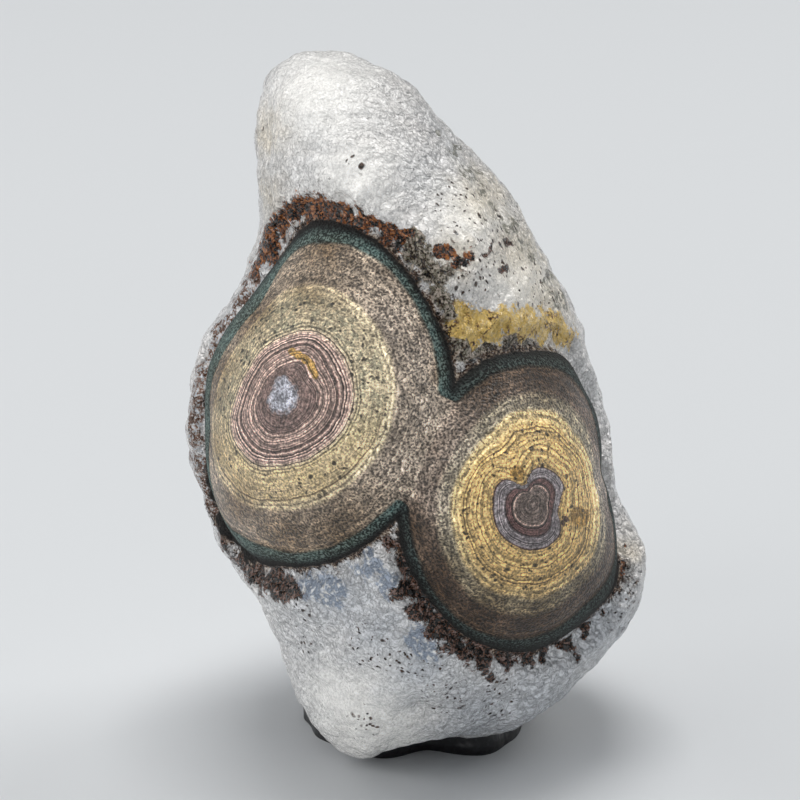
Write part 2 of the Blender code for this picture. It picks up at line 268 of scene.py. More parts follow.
# Cool: bluish grey low on the front and to the right, partly the crust's own colour and partly
# painted shade
COOL_AND_SHADE_SPOTS = (
    (8.0, -19.0, 4.0), (12.5, -14.5, 3.5), (4.0, -20.0, 3.0), (-4.5, -12.5, 3.0),
    (0.0, -16.5, 2.5), (-2.5, -14.5, 2.5),
)

# Painted light and painted shade on the eyes: paler spots stand in for light and sheen, darker
# ones for shade
PAINTED_LIGHT_SPOTS = (
    (0.6, 2.8, 2.6), (1.0, -0.8, 2.6), (-0.4, -4.0, 2.3), (2.6, -3.0, 2.2), (-1.5, 5.6, 2.2),
    (1.6, -6.2, 1.8), (-3.0, 1.6, 2.2), (-3.6, -2.4, 1.8), (3.6, -5.6, 2.2), (7.0, -2.2, 2.4),
    (11.4, -5.0, 2.2), (5.2, -3.4, 1.8),
)
PAINTED_SHADE_SPOTS = (
    (-12.6, 0.6, 1.6), (-12.5, -2.2, 1.6), (-8.5, -8.8, 2.8), (-5.0, -8.4, 2.8),
    (-11.6, -6.5, 1.8), (8.0, -13.8, 3.2), (4.5, -13.2, 2.8), (11.2, -11.8, 2.4),
    (1.4, -11.4, 2.2), (8.0, 2.0, 2.2), (4.5, 1.4, 1.6), (-6.0, 10.0, 1.6), (-6.8, 6.6, 2.0),
    (-12.2, 2.0, 2.0), (-10.4, 5.6, 1.8), (3.2, 2.4, 1.2), (1.9, 2.4, 1.0), (-0.6, -8.0, 1.2),
    (-1.3, 9.2, 0.7), (0.0, 7.7, 0.7), (1.1, 6.1, 0.7), (1.9, 4.5, 0.6),
)

# Where both eyes run into one another with no rim between them
BRIDGE_SPOTS = (
    (1.6, -0.3, 1.1), (1.2, -1.7, 1.3), (0.7, -3.1, 1.3), (0.1, -4.5, 1.3), (-0.4, -5.6, 1.1),
)
BRIDGE_FADE = (0.3, 0.7)
BRIDGE_COUNT = 4.85
BRIDGE_SUNK = 0.6

# How stains wander off their round spots, and how soon they fade at the turn of the sides
STAIN_LOBES = 1.1
STAIN_WANDER = 0.7
FACING_EDGE = 0.15
BEHIND_EDGE = 0.4

# Touches of honey and burnt brown in the eyes, kept to their spots
HONEY_SPOTS = (
    (-6.75, 2.25, 0.28), (-6.9, 2.6, 0.3), (-7.25, 2.95, 0.32), (-7.7, 3.2, 0.3),
    (-8.1, 3.45, 0.26), (-6.6, 1.9, 0.25), (10.4, -7.2, 0.7), (6.4, -4.4, 0.5),
)
BURN_SPOTS = ((9.5, -7.35, 0.22), (9.3, -7.6, 0.18))
# Spot groups stored on the mesh: stains, and the painted light and shade of crust and eyes
STAINS_AND_PAINTED_LIGHT = {
    "rust": RUST_SPOTS,
    "ochre": OCHRE_SPOTS,
    "soot": SOOT_SPOTS,
    "grey": GREY_SHADE_SPOTS,
    "blue": BLUE_SPOTS,
    "brown": BROWN_SPOTS,
    "flank": FLANK_SPOTS,
    "dots": DOT_SPOTS,
    "clean": CLEAN_SPOTS,
    "milk": MILK_AND_LIGHT_SPOTS,
    "warm": WARM_SPOTS,
    "cool": COOL_AND_SHADE_SPOTS,
    "pale": PAINTED_LIGHT_SPOTS,
    "deep": PAINTED_SHADE_SPOTS,
}
TOUCHES = {"honey": HONEY_SPOTS, "burn": BURN_SPOTS}

# Grit: the strip outside the rims and the stains where crumbs stick, and the crumbs' spread
GRIT_MIDDLE = 0.45
GRIT_REACH = 0.55
GRIT_LEAST = 0.25
GRIT_CLUSTER = 0.9
GRIT_PATCHY = 1.2
GRITTY = ("rust", "soot", "brown", "ochre")
CRUMB_LEAST = (0.5, 0.5, 0.4)
CRUMB_MOST = (1.5, 1.5, 1.1)

# Bands of an eye, from the pupil out to the rim
RINGS = 6

# Colours of the eyes: (count of bands passed on the way out, name of the colour)
LEFT_BANDS = (
    (0.0, "pupil"), (0.8, "pupil"), (1.1, "mauve"), (1.9, "mauve"), (2.1, "pale"),
    (2.85, "pale"), (3.03, "cream"), (4.0, "cream"), (4.1, "taupe"), (4.93, "taupe"),
    (5.02, "green"), (5.3, "green"), (5.55, "teal"), (5.8, "dark"),
)
RIGHT_BANDS = (
    (0.0, "disc"), (0.8, "disc"), (0.88, "pale"), (0.95, "disc"), (1.02, "dark"),
    (1.15, "maroon"), (1.85, "maroon"), (2.0, "dark"), (2.12, "slate"), (2.85, "slate"),
    (2.96, "line"), (3.05, "gold"), (3.78, "gold"), (3.9, "bright"), (4.0, "bright"),
    (4.1, "khaki"), (4.3, "khaki"), (4.45, "brown"), (4.9, "brown"), (5.05, "teal"),
    (6.0, "dark"),
)

# Dark lines of the bands: (share of the way through the band, half width, darkness)
CORE_LINES = ((0.2, 0.06, 0.35), (0.45, 0.06, 0.5), (0.68, 0.05, 0.5), (0.86, 0.04, 0.6))
LEFT_LINES = (
    (0.03, 0.04, 0.9), (0.11, 0.03, 0.5), (0.18, 0.035, 0.8), (0.25, 0.03, 0.55),
    (0.32, 0.035, 0.9), (0.38, 0.02, 0.5), (0.44, 0.04, 1.0), (0.5, 0.02, 0.6),
    (0.56, 0.038, 1.0), (0.62, 0.02, 0.6), (0.68, 0.035, 0.9), (0.75, 0.03, 0.8),
    (0.82, 0.03, 0.8), (0.89, 0.03, 0.7), (0.96, 0.03, 0.6),
)
CREAM_LINES = ((0.56, 0.025, 0.7), (0.8, 0.035, 0.95), (0.95, 0.02, 0.6))
MAROON_LINES = ((0.06, 0.08, 0.9), (0.35, 0.08, 0.6), (0.62, 0.08, 0.8), (0.86, 0.08, 0.7))
SLATE_LINES = ((0.06, 0.06, 0.9), (0.3, 0.05, 0.4), (0.55, 0.05, 0.5), (0.92, 0.06, 0.9))
RIGHT_LINES = (
    (0.1, 0.02, 0.5), (0.2, 0.02, 0.6), (0.3, 0.025, 0.75), (0.4, 0.02, 0.6),
    (0.5, 0.02, 0.6), (0.58, 0.025, 0.7), (0.66, 0.02, 0.8), (0.74, 0.025, 0.85),
)

# Lines that one colour ramp has room for
LINES_PER_RAMP = 8

# How boldly fine ring lines show: (count of rings, strength)
LEFT_LINED = ((0, 0.0), (1.0, 0.3), (1.8, 0.5), (2.05, 0.9), (3.0, 0.9), (3.2, 0.2), (6, 0.3))
RIGHT_LINED = ((0, 0.5), (1.0, 0.8), (3.0, 0.7), (3.1, 0.4), (3.8, 0.4), (4.05, 0.35), (6, 0.25))

# Counts of rings between which the finish of the eyes changes
PUPIL_END = (0.8, 1.1)
FIBRE_END = (0.6, 1.8)
WIDE_START = (2.9, 3.1)
WIDE_END = (3.75, 4.0)
GRAIN_START = (3.85, 4.3)
PEARL_START = (4.0, 4.2)
PAINTED_LIGHT_END = (4.9, 5.0)
PAINTED_SHADE_START = (2.8, 4.2)
SPECKED_START = (2.7, 3.0)
SPECKED_END = (3.8, 4.2)
RIM_START = (4.8, 5.0)
MOSSY_START = (4.9, 5.1)
MOSSY_END = (5.2, 5.8)

# Blotches of the wide bands: how patchy, where they start, and how strong left and right
BLOTCH_PATCHY = 0.6
BLOTCH_EDGE = (0.8, 0.85)
MOSS_STRENGTH = 0.8
HONEY_STRENGTH = 0.35

# The cream band: how high its golden foot fades out, and how much darker it is above
GOLDEN_REACH = (-4.5, 0.5)
LEAST_GOLDEN = 0.1
GOLDEN_STRENGTH = 0.35
SHADE_ABOVE = 0.14

# Breaks in the dark lines: streaks that start and end one, and how dark a line stays there
LINE_BREAKS = (0.3, 0.55)
LINE_LEAST = 0.4

# Painted light on the eyes: how much brighter, and how pearly in their outer bands
PAINTED_LIGHT_LIFT = 0.4
PEARL_STRENGTH = 0.6

# Touches of honey and burnt brown: how far they fray, and where they start and are whole
TOUCH_FRAY = 0.5
TOUCH_EDGE = (0.6, 0.75)

# How far each random pattern darkens and brightens the eyes
SWING_EDGE = (0.34, 0.66)
SWINGS = {
    "patches": (0.82, 1.18),
    "clots": (0.68, 1.32),
    "rings": (0.15, 1.75),
    "streaks": (0.62, 1.38),
    "grains": (0.3, 1.8),
    "pebbles": (1.4, 0.75),
}
GRAIN_INSIDE = 0.6

# Pale grains in the rims, their strength in the right one, and what the left one adds
MOSSY_EDGE = (0.5, 0.6)
MOSSY_RIGHT = 0.3
MOSSY_MORE = 0.5

# Specks of the eyes: how dark, and their share beyond the wide bands
SPECK_STRENGTH = 0.9
SPECKED_LEAST = 0.1

# Fine relief of the eyes, in millimetres
GRAIN_RELIEF = 0.35
RING_RELIEF = 0.08

# Sizes of the stone's random patterns in millimetres, and how far its cells are shaken
GRAIN_SIZE = 0.15
CLOT_SIZE = 0.35
MOTTLE_SIZE = 0.8
PATCH_SIZE = 1.6
CELL_SIZE = 0.5
SHAKE_SIZE = 0.4
SHAKE_REACH = 0.35

# Specks: spacing in millimetres, largest radius as a share of it, share of places left bare
FINE_SPECKS = (0.4, 0.45, 0.25)
COARSE_SPECKS = (0.8, 0.3, 0.4)

# Smallest speck as a share of the largest, and the fully dark share of each
SPECK_LEAST = 0.4
SPECK_CORE = 0.5

# Patterns that follow the rings: spacing of the finest lines, and their sway, in rings
FINE_RING = 0.075
RING_SWAY = 0.14
RING_TREMBLE = 0.04
FIBRE_FRAY = 1.2

# Streaks across the rings: (name, fineness round the pupil, fineness from ring to ring)
STREAKS = (("streaks", 6.0, 13.0), ("spikes", 22.0, 0.9))

# Sizes of the crust's own patterns, in millimetres
CRUST_SHADES = 6.0
CRUST_WEATHER = 5.0
CRUST_CRACKS = 0.6
CRACK_WIDTH = 0.035
FRAY_SIZE = 1.1

# Random values between which a pattern turns from one colour to the other
CRUMBLY_EDGE = (0.4, 0.6)
BROAD_EDGE = (0.35, 0.65)
CLOUDY_EDGE = (0.38, 0.62)

# Whitest and coolest parts of the crust: strength of their colours, and how smooth the milk is
# The milk is partly painted light on the bottom lobe
MILK_AND_LIGHT_STRENGTH = 0.9
# The cool spots are partly painted shade low on the front
COOL_AND_SHADE_STRENGTH = 0.8
MILK_SMOOTH = 0.85

# Weathering of the back: (random values where it starts and is whole, strength)
COOL_WEATHER = (0.46, 0.34, 0.7)
WARM_WEATHER = (0.5, 0.72, 0.8)

# Tints of the crust: (random values low and high, tints there)
MOTTLE_TINT = (0.3, 0.7, 0.95, 1.05)
GRAIN_TINT = (0.35, 0.65, 0.9, 1.12)

# Creases of the crust: how dark each kind is, and how bright the skin between them
CREASES = {"cracked": 0.22, "wrinkled": 0.18}
CREASE_LIFT = 1.02

# Fine relief of the crust, in millimetres, and where a dome ends in its cell
CRACK_RELIEF = 0.08
WRINKLE_RELIEF = 0.05
DOME_RELIEF = 0.26
DOME_FOOT = 0.75
CRUST_GRAIN_RELIEF = 0.06

# Stains of the crust: how far they fray, where they start and are whole, and where they end
STAIN_FRAY = 1.5
STAIN_EDGE = (0.38, 0.6)
STAIN_END = (0.02, 0.3)

# What frays them: detail and roughness of the pattern, and how far grains and spikes join in
FRAY_DETAIL = 4.0
FRAY_ROUGHNESS = 0.65
FRAY_MORE = 0.35

# Dirt along the broken edge: how far it frays, and where it starts to thin out and ends
DIRT_FRAY = 2.0
DIRT_EDGE = (0.15, 0.55)

# Clear bluish patches and the grey veil: how strong, and where the veil breaks up
CLEAR_STRENGTH = 0.85
VEIL_STRENGTH = 0.8
VEIL_EDGE = (0.4, 0.55)

# Dots of the crust: how patchy, and (values low and high, share of specks there)
DOTS_PATCHY = 0.6
DOTS_EDGE = (0.45, 0.75, 0.02, 1.0)

# Colours of the stains along a random pattern: (value from 0 to 1, name of the colour)
# Clear patches: the dark teal and milky ends of their ramp partly paint the shade and glints of
# glassy crust
CLEAR_AND_GLINT_COLOURS = ((0.0, "teal"), (0.36, "blue"), (0.5, "blue"), (0.6, "cool"), (0.68, "milk"))
OCHRE_COLOURS = (
    (0.0, "umber"), (0.12, "honey"), (0.32, "ochre"), (0.75, "ochre"), (1.0, "bright"),
)
STAIN_COLOURS = {
    "soot": ((0.0, "dark"), (0.25, "umber"), (0.45, "olive"), (0.7, "moss"), (1.0, "pearl")),
    "dirt": ((0.0, "dark"), (0.35, "umber"), (0.7, "umber"), (1.0, "taupe")),
    "flank": ((0.0, "umber"), (0.2, "rust"), (0.4, "mauve"), (0.6, "pearl"), (1.0, "cool")),
    "rust": ((0.0, "dark"), (0.35, "dark"), (0.5, "rust"), (0.85, "rust"), (1.0, "ember")),
    "brown": ((0.0, "dark"), (0.45, "dark"), (0.68, "umber"), (0.9, "rust"), (1.0, "mauve")),
}

# Where eyes and crust meet: how far the line frays, and half its width, in millimetres
RIM_FRAY = 0.4
RIM_EDGE = 0.1

# Tints of the darkest and the brightest crumb
TONES = (0.55, 1.45)

# Gloss: roughness and clear coat of the crust, of the eyes and of their matt rims
CRUST_ROUGHNESS = 0.2
CRUST_COAT = 0.35
EYE_ROUGHNESS = 0.35
EYE_COAT = 0.12
RIM_ROUGHNESS = 0.8
COAT_ROUGHNESS = 0.15

# The stone's mesh: squares along each side of its six grids, and their drift to the front
STONE_GRID = 127
FRONT_DRIFT = 0.33

# The putty pad: its middle, and its outline on the floor as (turn in degrees, radius)
PAD_MIDDLE = (-0.3, 6.4)
PAD_OUTLINE = (
    (0, 7.4), (30, 7.5), (60, 7.7), (90, 8.0), (120, 7.9), (150, 7.5), (180, 7.1),
    (210, 6.9), (236, 7.3), (256, 7.0), (275, 6.1), (295, 7.3), (318, 7.9), (340, 7.6),
)

# Its height, how full its sides are, its drawn-in foot, its lumps and the gap to the stone
PAD_HEIGHT = 4.4
PAD_BULGE = 0.6
PAD_FOOT = 0.93
FOOT_TOP = -0.01
PAD_LUMPS = 0.12
LUMPS_ACROSS = 2.0
PRESS_GAP = 0.05

# Its mesh: sides round it and levels from pole to pole
PAD_SIDES = 160
PAD_LEVELS = 80

# The putty's finish: size of dust, smears and thumb marks, and relief, in millimetres
DUST_SIZE = 0.25
DUST_STRENGTH = 0.25
SMEAR_SIZE = 1.2
SMEAR_ROUGHNESS = (0.3, 0.5)
THUMB_SIZE = 1.4
THUMB_RELIEF = 0.25
SPECKLE_SIZE = 0.2
SPECKLE_RELIEF = 0.02

# The floor: sides of its round edge, and roughness
FLOOR_SIDES = 96
FLOOR_ROUGHNESS = 0.7

# The lamps: (name, place in metres, width in metres, power in watts), and the height they face
LAMPS = (
    ("overhead_lamp", (0.0, 0.0, 0.95), 0.5, 4.9),
    ("back_right_lamp", (0.6, 0.5, 0.6), 0.5, 2.9),
    ("left_lamp", (-0.9, 0.0, 0.35), 0.5, 2.0),
    ("left_front_lamp", (-0.6, -0.6, 0.6), 0.5, 1.3),
    ("back_left_lamp", (-0.6, 0.5, 0.6), 0.5, 1.0),
    ("low_front_lamp", (-0.3, -0.9, 0.12), 0.5, 1.4),
)
LAMP_AIM = 0.02

# The camera: pixels to a millimetre, pixels across the frame, and its middle on the show face
PIXELS_PER_MM = 15.55
FRAME_PIXELS = 800
FRAME_MIDDLE = (-1.158, 0.322)

# Its sensor's width in millimetres, and where its view starts, in metres
SENSOR = 36.0
CLIP_START = 0.01

# The mix node's colour sockets go by place, as its number sockets have the same names
UNDER, OVER, MIXED = 6, 7, 2


def smooth_line(at, places, values):
    """Read a smooth curve through the given values at the given rising places."""
    slopes = np.gradient(values, places)
    left = np.clip(np.searchsorted(places, at) - 1, 0, len(places) - 2)
    span = places[left + 1] - places[left]
    t = np.clip((at - places[left]) / span, 0.0, 1.0)
    start = (1 + 2 * t) * (1 - t) ** 2 * values[left] + t * (1 - t) ** 2 * span * slopes[left]
    end = t**2 * (3 - 2 * t) * values[left + 1] + t**2 * (t - 1) * span * slopes[left + 1]
    return start + end


def smooth_loop(turns, places, values):
    """Read a smooth closed curve through values given round a full turn, in radians."""
    order = np.argsort(places)
    places, values = places[order], values[order]
    around = np.concatenate((places[-3:] - FULL_TURN, places, places[:3] + FULL_TURN))
    return smooth_line(turns, around, np.concatenate((values[-3:], values, values[:3])))


def smooth_step(value):
    """Ease from 0 to 1 as the value goes from 0 to 1."""
    t = np.clip(value, 0.0, 1.0)
    return t * t * (3 - 2 * t)


TOP, BOTTOM = LEFT_LINE[0][0], LEFT_LINE[-1][0]
MIDDLE, HALF = (TOP + BOTTOM) / 2, (TOP - BOTTOM) / 2


def side_line(line, height):
    """How far a line of the stone lies out at each height, from -1 at the foot to 1 on top.

    The line is read as a swelling of a ball, so it closes roundly at both ends.
    """
    levels = (np.array([v for v, _ in line[::-1]]) - MIDDLE) / HALF
    outs = np.array([out for _, out in line[::-1]])
    spine = np.interp(levels, (-1.0, 1.0), (outs[0], outs[-1]))
    ball = np.sqrt(1 - levels[1:-1] ** 2)
    swell = smooth_line(height, levels[1:-1], (outs - spine)[1:-1] / ball)
    return np.interp(height, (-1.0, 1.0), (outs[0], outs[-1])), swell


def oval(height):
    """Middle and half sizes of the level oval at each height, for a ball radius of one."""
    spine_u, left = side_line(LEFT_LINE, height)
    _, right = side_line(RIGHT_LINE, height)
    spine_w, front = side_line(FRONT_LINE, height)
    _, back = side_line(BACK_LINE, height)
    ball = np.sqrt(np.clip(1 - height**2, 0.0, 1.0))
    middle_u = spine_u + ball * (right + left) / 2
    middle_w = spine_w + ball * (back + front) / 2
    return middle_u, (right - left) / 2, middle_w, (back - front) / 2


def placed(u, v, w):
    """Turn a place on the leaning show face into a place above the floor."""
    x = u - CENTRE[0]
    y = w * math.cos(LEAN) - CENTRE[1]
    z = v / math.cos(LEAN) - w * math.sin(LEAN) - FLOOR
    return np.stack((x, y, z), axis=-1)


def plain_stone(ball):
    """Carry points of a unit ball to the plain form of the stone."""
    height = ball[:, 2]
    middle_u, half_u, middle_w, half_w = oval(height)
    u = middle_u + half_u * ball[:, 0]
    w = middle_w + half_w * ball[:, 1]
    return placed(u, MIDDLE + HALF * height, w)


ACROSS = np.array((1.0, 0.0, 0.0))
AHEAD = np.array((0.0, math.cos(LEAN), -math.sin(LEAN)))
UP = np.array((0.0, math.sin(LEAN), math.cos(LEAN)))
FACE_MIDDLE = placed(0.0, 0.0, 0.0)
CAMERA = FACE_MIDDLE + FRAME_MIDDLE[0] * ACROSS + FRAME_MIDDLE[1] * UP - VIEW_DISTANCE * AHEAD


def show_face(seen_u, seen_v):
    """The point of the plain form that shows at (u, v) on the face from VIEW_DISTANCE away."""
    seen_u, seen_v = np.asarray(seen_u, dtype=float), np.asarray(seen_v, dtype=float)
    u, v = seen_u, seen_v
    for _ in range(SIGHT_ROUNDS):
        height = np.clip((v - MIDDLE) / HALF, -NEAR_EDGE, NEAR_EDGE)
        middle_u, half_u, middle_w, half_w = oval(height)
        ball = np.sqrt(1 - height**2)
        across = np.clip((u - middle_u) / (half_u * ball), -NEAR_EDGE, NEAR_EDGE)
        w = middle_w - half_w * ball * np.sqrt(1 - across**2)
        nearness = 1 + (w - v * math.tan(LEAN)) / VIEW_DISTANCE
        u, v = seen_u * nearness, seen_v * nearness
    return placed(middle_u + half_u * ball * across, MIDDLE + HALF * height, w)


class Surface:
    """A finished mesh, read where it shows on the face, as show_face reads the plain form."""

    def __init__(self, mesh):
        copy = bmesh.new()
        copy.from_mesh(mesh)
        self.tree = BVHTree.FromBMesh(copy)
        copy.free()

    def __call__(self, seen_u, seen_v):
        """The places where lines of sight through (u, v) on the face meet the mesh."""
        found = []
        for u, v in zip(np.atleast_1d(seen_u), np.atleast_1d(seen_v)):
            target = FACE_MIDDLE + u * ACROSS + v * UP
            start, aim = Vector(CAMERA * MM), Vector(target - CAMERA).normalized()
            hit = self.tree.ray_cast(start, aim)[0]
            found.append(hit or self.tree.find_nearest(Vector(target * MM))[0])
        return np.array(found).reshape(*np.shape(seen_u), 3) / MM


class Eye:
    """One ringed eye, measured in turns and reaches from its pupil along its swelling."""

    def __init__(self, centre, rim, widest, rings, surface):
        """Draw the rim and the rings on a surface, as they show on the face."""
        u, v = centre
        rise = show_face(u, v + SLOPE_STEP) - show_face(u, v - SLOPE_STEP)
        run = show_face(u + SLOPE_STEP, v) - show_face(u - SLOPE_STEP, v)
        out = np.cross(run, rise)
        self.core = show_face(u, v) - EYE_ROUND * out / np.linalg.norm(out)
        out = surface(u, v) - self.core
        self.out = out / np.linalg.norm(out)
        self.up = np.cross(self.out, run)
        self.up /= np.linalg.norm(self.up)
        self.across = np.cross(self.up, self.out)
        rim = np.array(rim)
        self.rim = self.polar(surface(rim[:, 0], rim[:, 1]))
        self.outlines = []
        for ring in rings:
            turns, radii = np.array(ring, dtype=float).T
            turns = np.radians(turns)
            drawn = surface(u + radii * np.cos(turns), v + radii * np.sin(turns))
            self.outlines.append(self.polar(drawn))
        turns, reach = self.rim
        self.rim = turns, np.minimum(reach, smooth_loop(turns, *self.outlines[-1]) + widest)

    def polar(self, points):
        """Turn round the pupil, and reach from it along the swelling in millimetres."""
        rays = points - self.core
        rays = rays / np.linalg.norm(rays, axis=-1, keepdims=True)
        reach = EYE_ROUND * np.arccos(np.clip(rays @ self.out, -1.0, 1.0))
        return np.arctan2(rays @ self.up, rays @ self.across), reach

    def share(self, points):
        """Reach of each point as a share of the rim's, and its distance outside the rim."""
        turns, reach = self.polar(points)
        rim = smooth_loop(turns, *self.rim)
        return reach / rim, reach - rim

    def map(self, points):
        """Place of each point across and up from the pupil, and its count of rings."""
        turns, reach = self.polar(points)
        inner = np.zeros(len(points))
        count = np.zeros(len(points))
        for outline in (*self.outlines, self.rim):
            outer = np.maximum(smooth_loop(turns, *outline), inner + LEAST_BAND)
            count += np.clip((reach - inner) / (outer - inner), 0.0, 1.0)
            inner = outer
        count += np.maximum(reach - inner, 0.0)
        return np.stack((reach * np.cos(turns), reach * np.sin(turns), count), axis=-1)


def draw_eyes(surface):
    """The left eye and the right one, drawn on a surface."""
    return (
        Eye(LEFT_EYE, LEFT_RIM, LEFT_WIDEST, LEFT_RINGS, surface),
        Eye(RIGHT_EYE, RIGHT_RIM, RIGHT_WIDEST, RIGHT_RINGS, surface),
    )


def crust_line(eyes, points):
    """Reach of each point as a share of each eye's rim, and its distance outside both rims."""
    shares, gaps = zip(*(eye.share(points) for eye in eyes))
    return shares, np.minimum(*gaps)


def rough(points, size):
    """Smooth random lumps of a given size, from about -0.7 to 0.7."""
    return np.array([noise.noise(Vector(point) / size) for point in points])


def pebbles(points, size):
    """Rounded pebbles of a given size: 1 on top of each, falling to 0 in the creases."""
    near = np.array([noise.voronoi(Vector(point) / size)[0][0] for point in points])
    return 1 - np.clip(near, 0.0, 1.0) ** 2


def crust_lumps(points, settings):
    """Lumps, hollows and pebbles of the crust, and how its broken edge wanders."""
    pimples = rough(points, PIMPLE_SIZE)
    wander = LEDGE_RAGGED * pimples + SPLINTER_REACH * rough(points, SPLINTER_SIZE)
    lumps = LUMP_HEIGHT * rough(points, LUMP_SIZE) + PIMPLE_HEIGHT * pimples
    size = settings.pebble_size / MM
    lumps += settings.pebble_height / MM * (pebbles(points, size) - 0.5)
    for u, v, reach, height in SWELLINGS:
        away = np.linalg.norm(points - show_face(u, v), axis=1) / reach
        lumps += height * np.exp(-(away**2))
    return lumps, wander


def relief(shares, gap, lumps, wander):
    """How far the stone stands out from its plain form."""
    swell = np.clip(np.maximum(1 - shares[0] ** 2, 1 - shares[1] ** 2), 0, 1) ** SWELL_SHAPE
    crust = smooth_step((gap - LEDGE_START - wander) / LEDGE_SLOPE)
    return EYE_SWELL * swell - LEDGE * (1 - crust) + lumps * crust


def seen_places(points):
    """Where points of the stone show on its face: u across and v up."""
    rays = points - CAMERA
    rays = rays / (rays @ AHEAD)[:, None] * VIEW_DISTANCE + CAMERA - FACE_MIDDLE
    return rays @ ACROSS, rays @ UP


def stain(u, v, facing, spots):
    """How strongly a group of spots marks each point of the show face, from 0 to 1: stains,
    tints, painted light and shade.
    """
    strength = np.zeros(len(u))
    for spot_u, spot_v, reach in spots:
        away = np.hypot(u - spot_u, v - spot_v) / reach
        strength = np.maximum(strength, np.exp(-(away**2)))
    return strength * facing


def even_ball(grid, drift):
    """A mesh of a closed ball of six square grids, its points drawn towards the front."""
    ball = bmesh.new()
    bmesh.ops.create_cube(ball, size=2.0)
    bmesh.ops.subdivide_edges(ball, edges=ball.edges[:], cuts=grid - 1, use_grid_fill=True)
    mesh = bpy.data.meshes.new("agate_looks")
    ball.to_mesh(mesh)
    ball.free()
    points = np.tan(math.pi / 4 * get_points(mesh))
    points /= np.linalg.norm(points, axis=1, keepdims=True)
    points[:, 1] -= drift
    points /= np.linalg.norm(points, axis=1, keepdims=True)
    return mesh, points


def set_points(mesh, points):
    """Move a mesh's points to places given in millimetres."""
    mesh.vertices.foreach_set("co", (points * MM).ravel())
    mesh.update()


def get_points(mesh):
    """A mesh's points in its own units."""
    flat = np.empty(len(mesh.vertices) * 3)
    mesh.vertices.foreach_get("co", flat)
    return flat.reshape(-1, 3)


def get_normals(mesh):
    """A mesh's outward directions at its points."""
    flat = np.empty(len(mesh.vertices) * 3)
    mesh.vertex_normals.foreach_get("vector", flat)
    return flat.reshape(-1, 3)


def store(mesh, name, values):
    """Keep a number or a place at each point of a mesh."""
    kind = "FLOAT_VECTOR" if values.ndim == 2 else "FLOAT"
    kept = mesh.attributes.new(name, kind, "POINT")
    kept.data.foreach_set("vector" if values.ndim == 2 else "value", values.ravel())


def add_object(name, data):
    """A new object of the scene, at the origin, that holds a mesh, a lamp or a camera."""
    made = bpy.data.objects.new(name, data)
    bpy.context.scene.collection.objects.link(made)
    return made


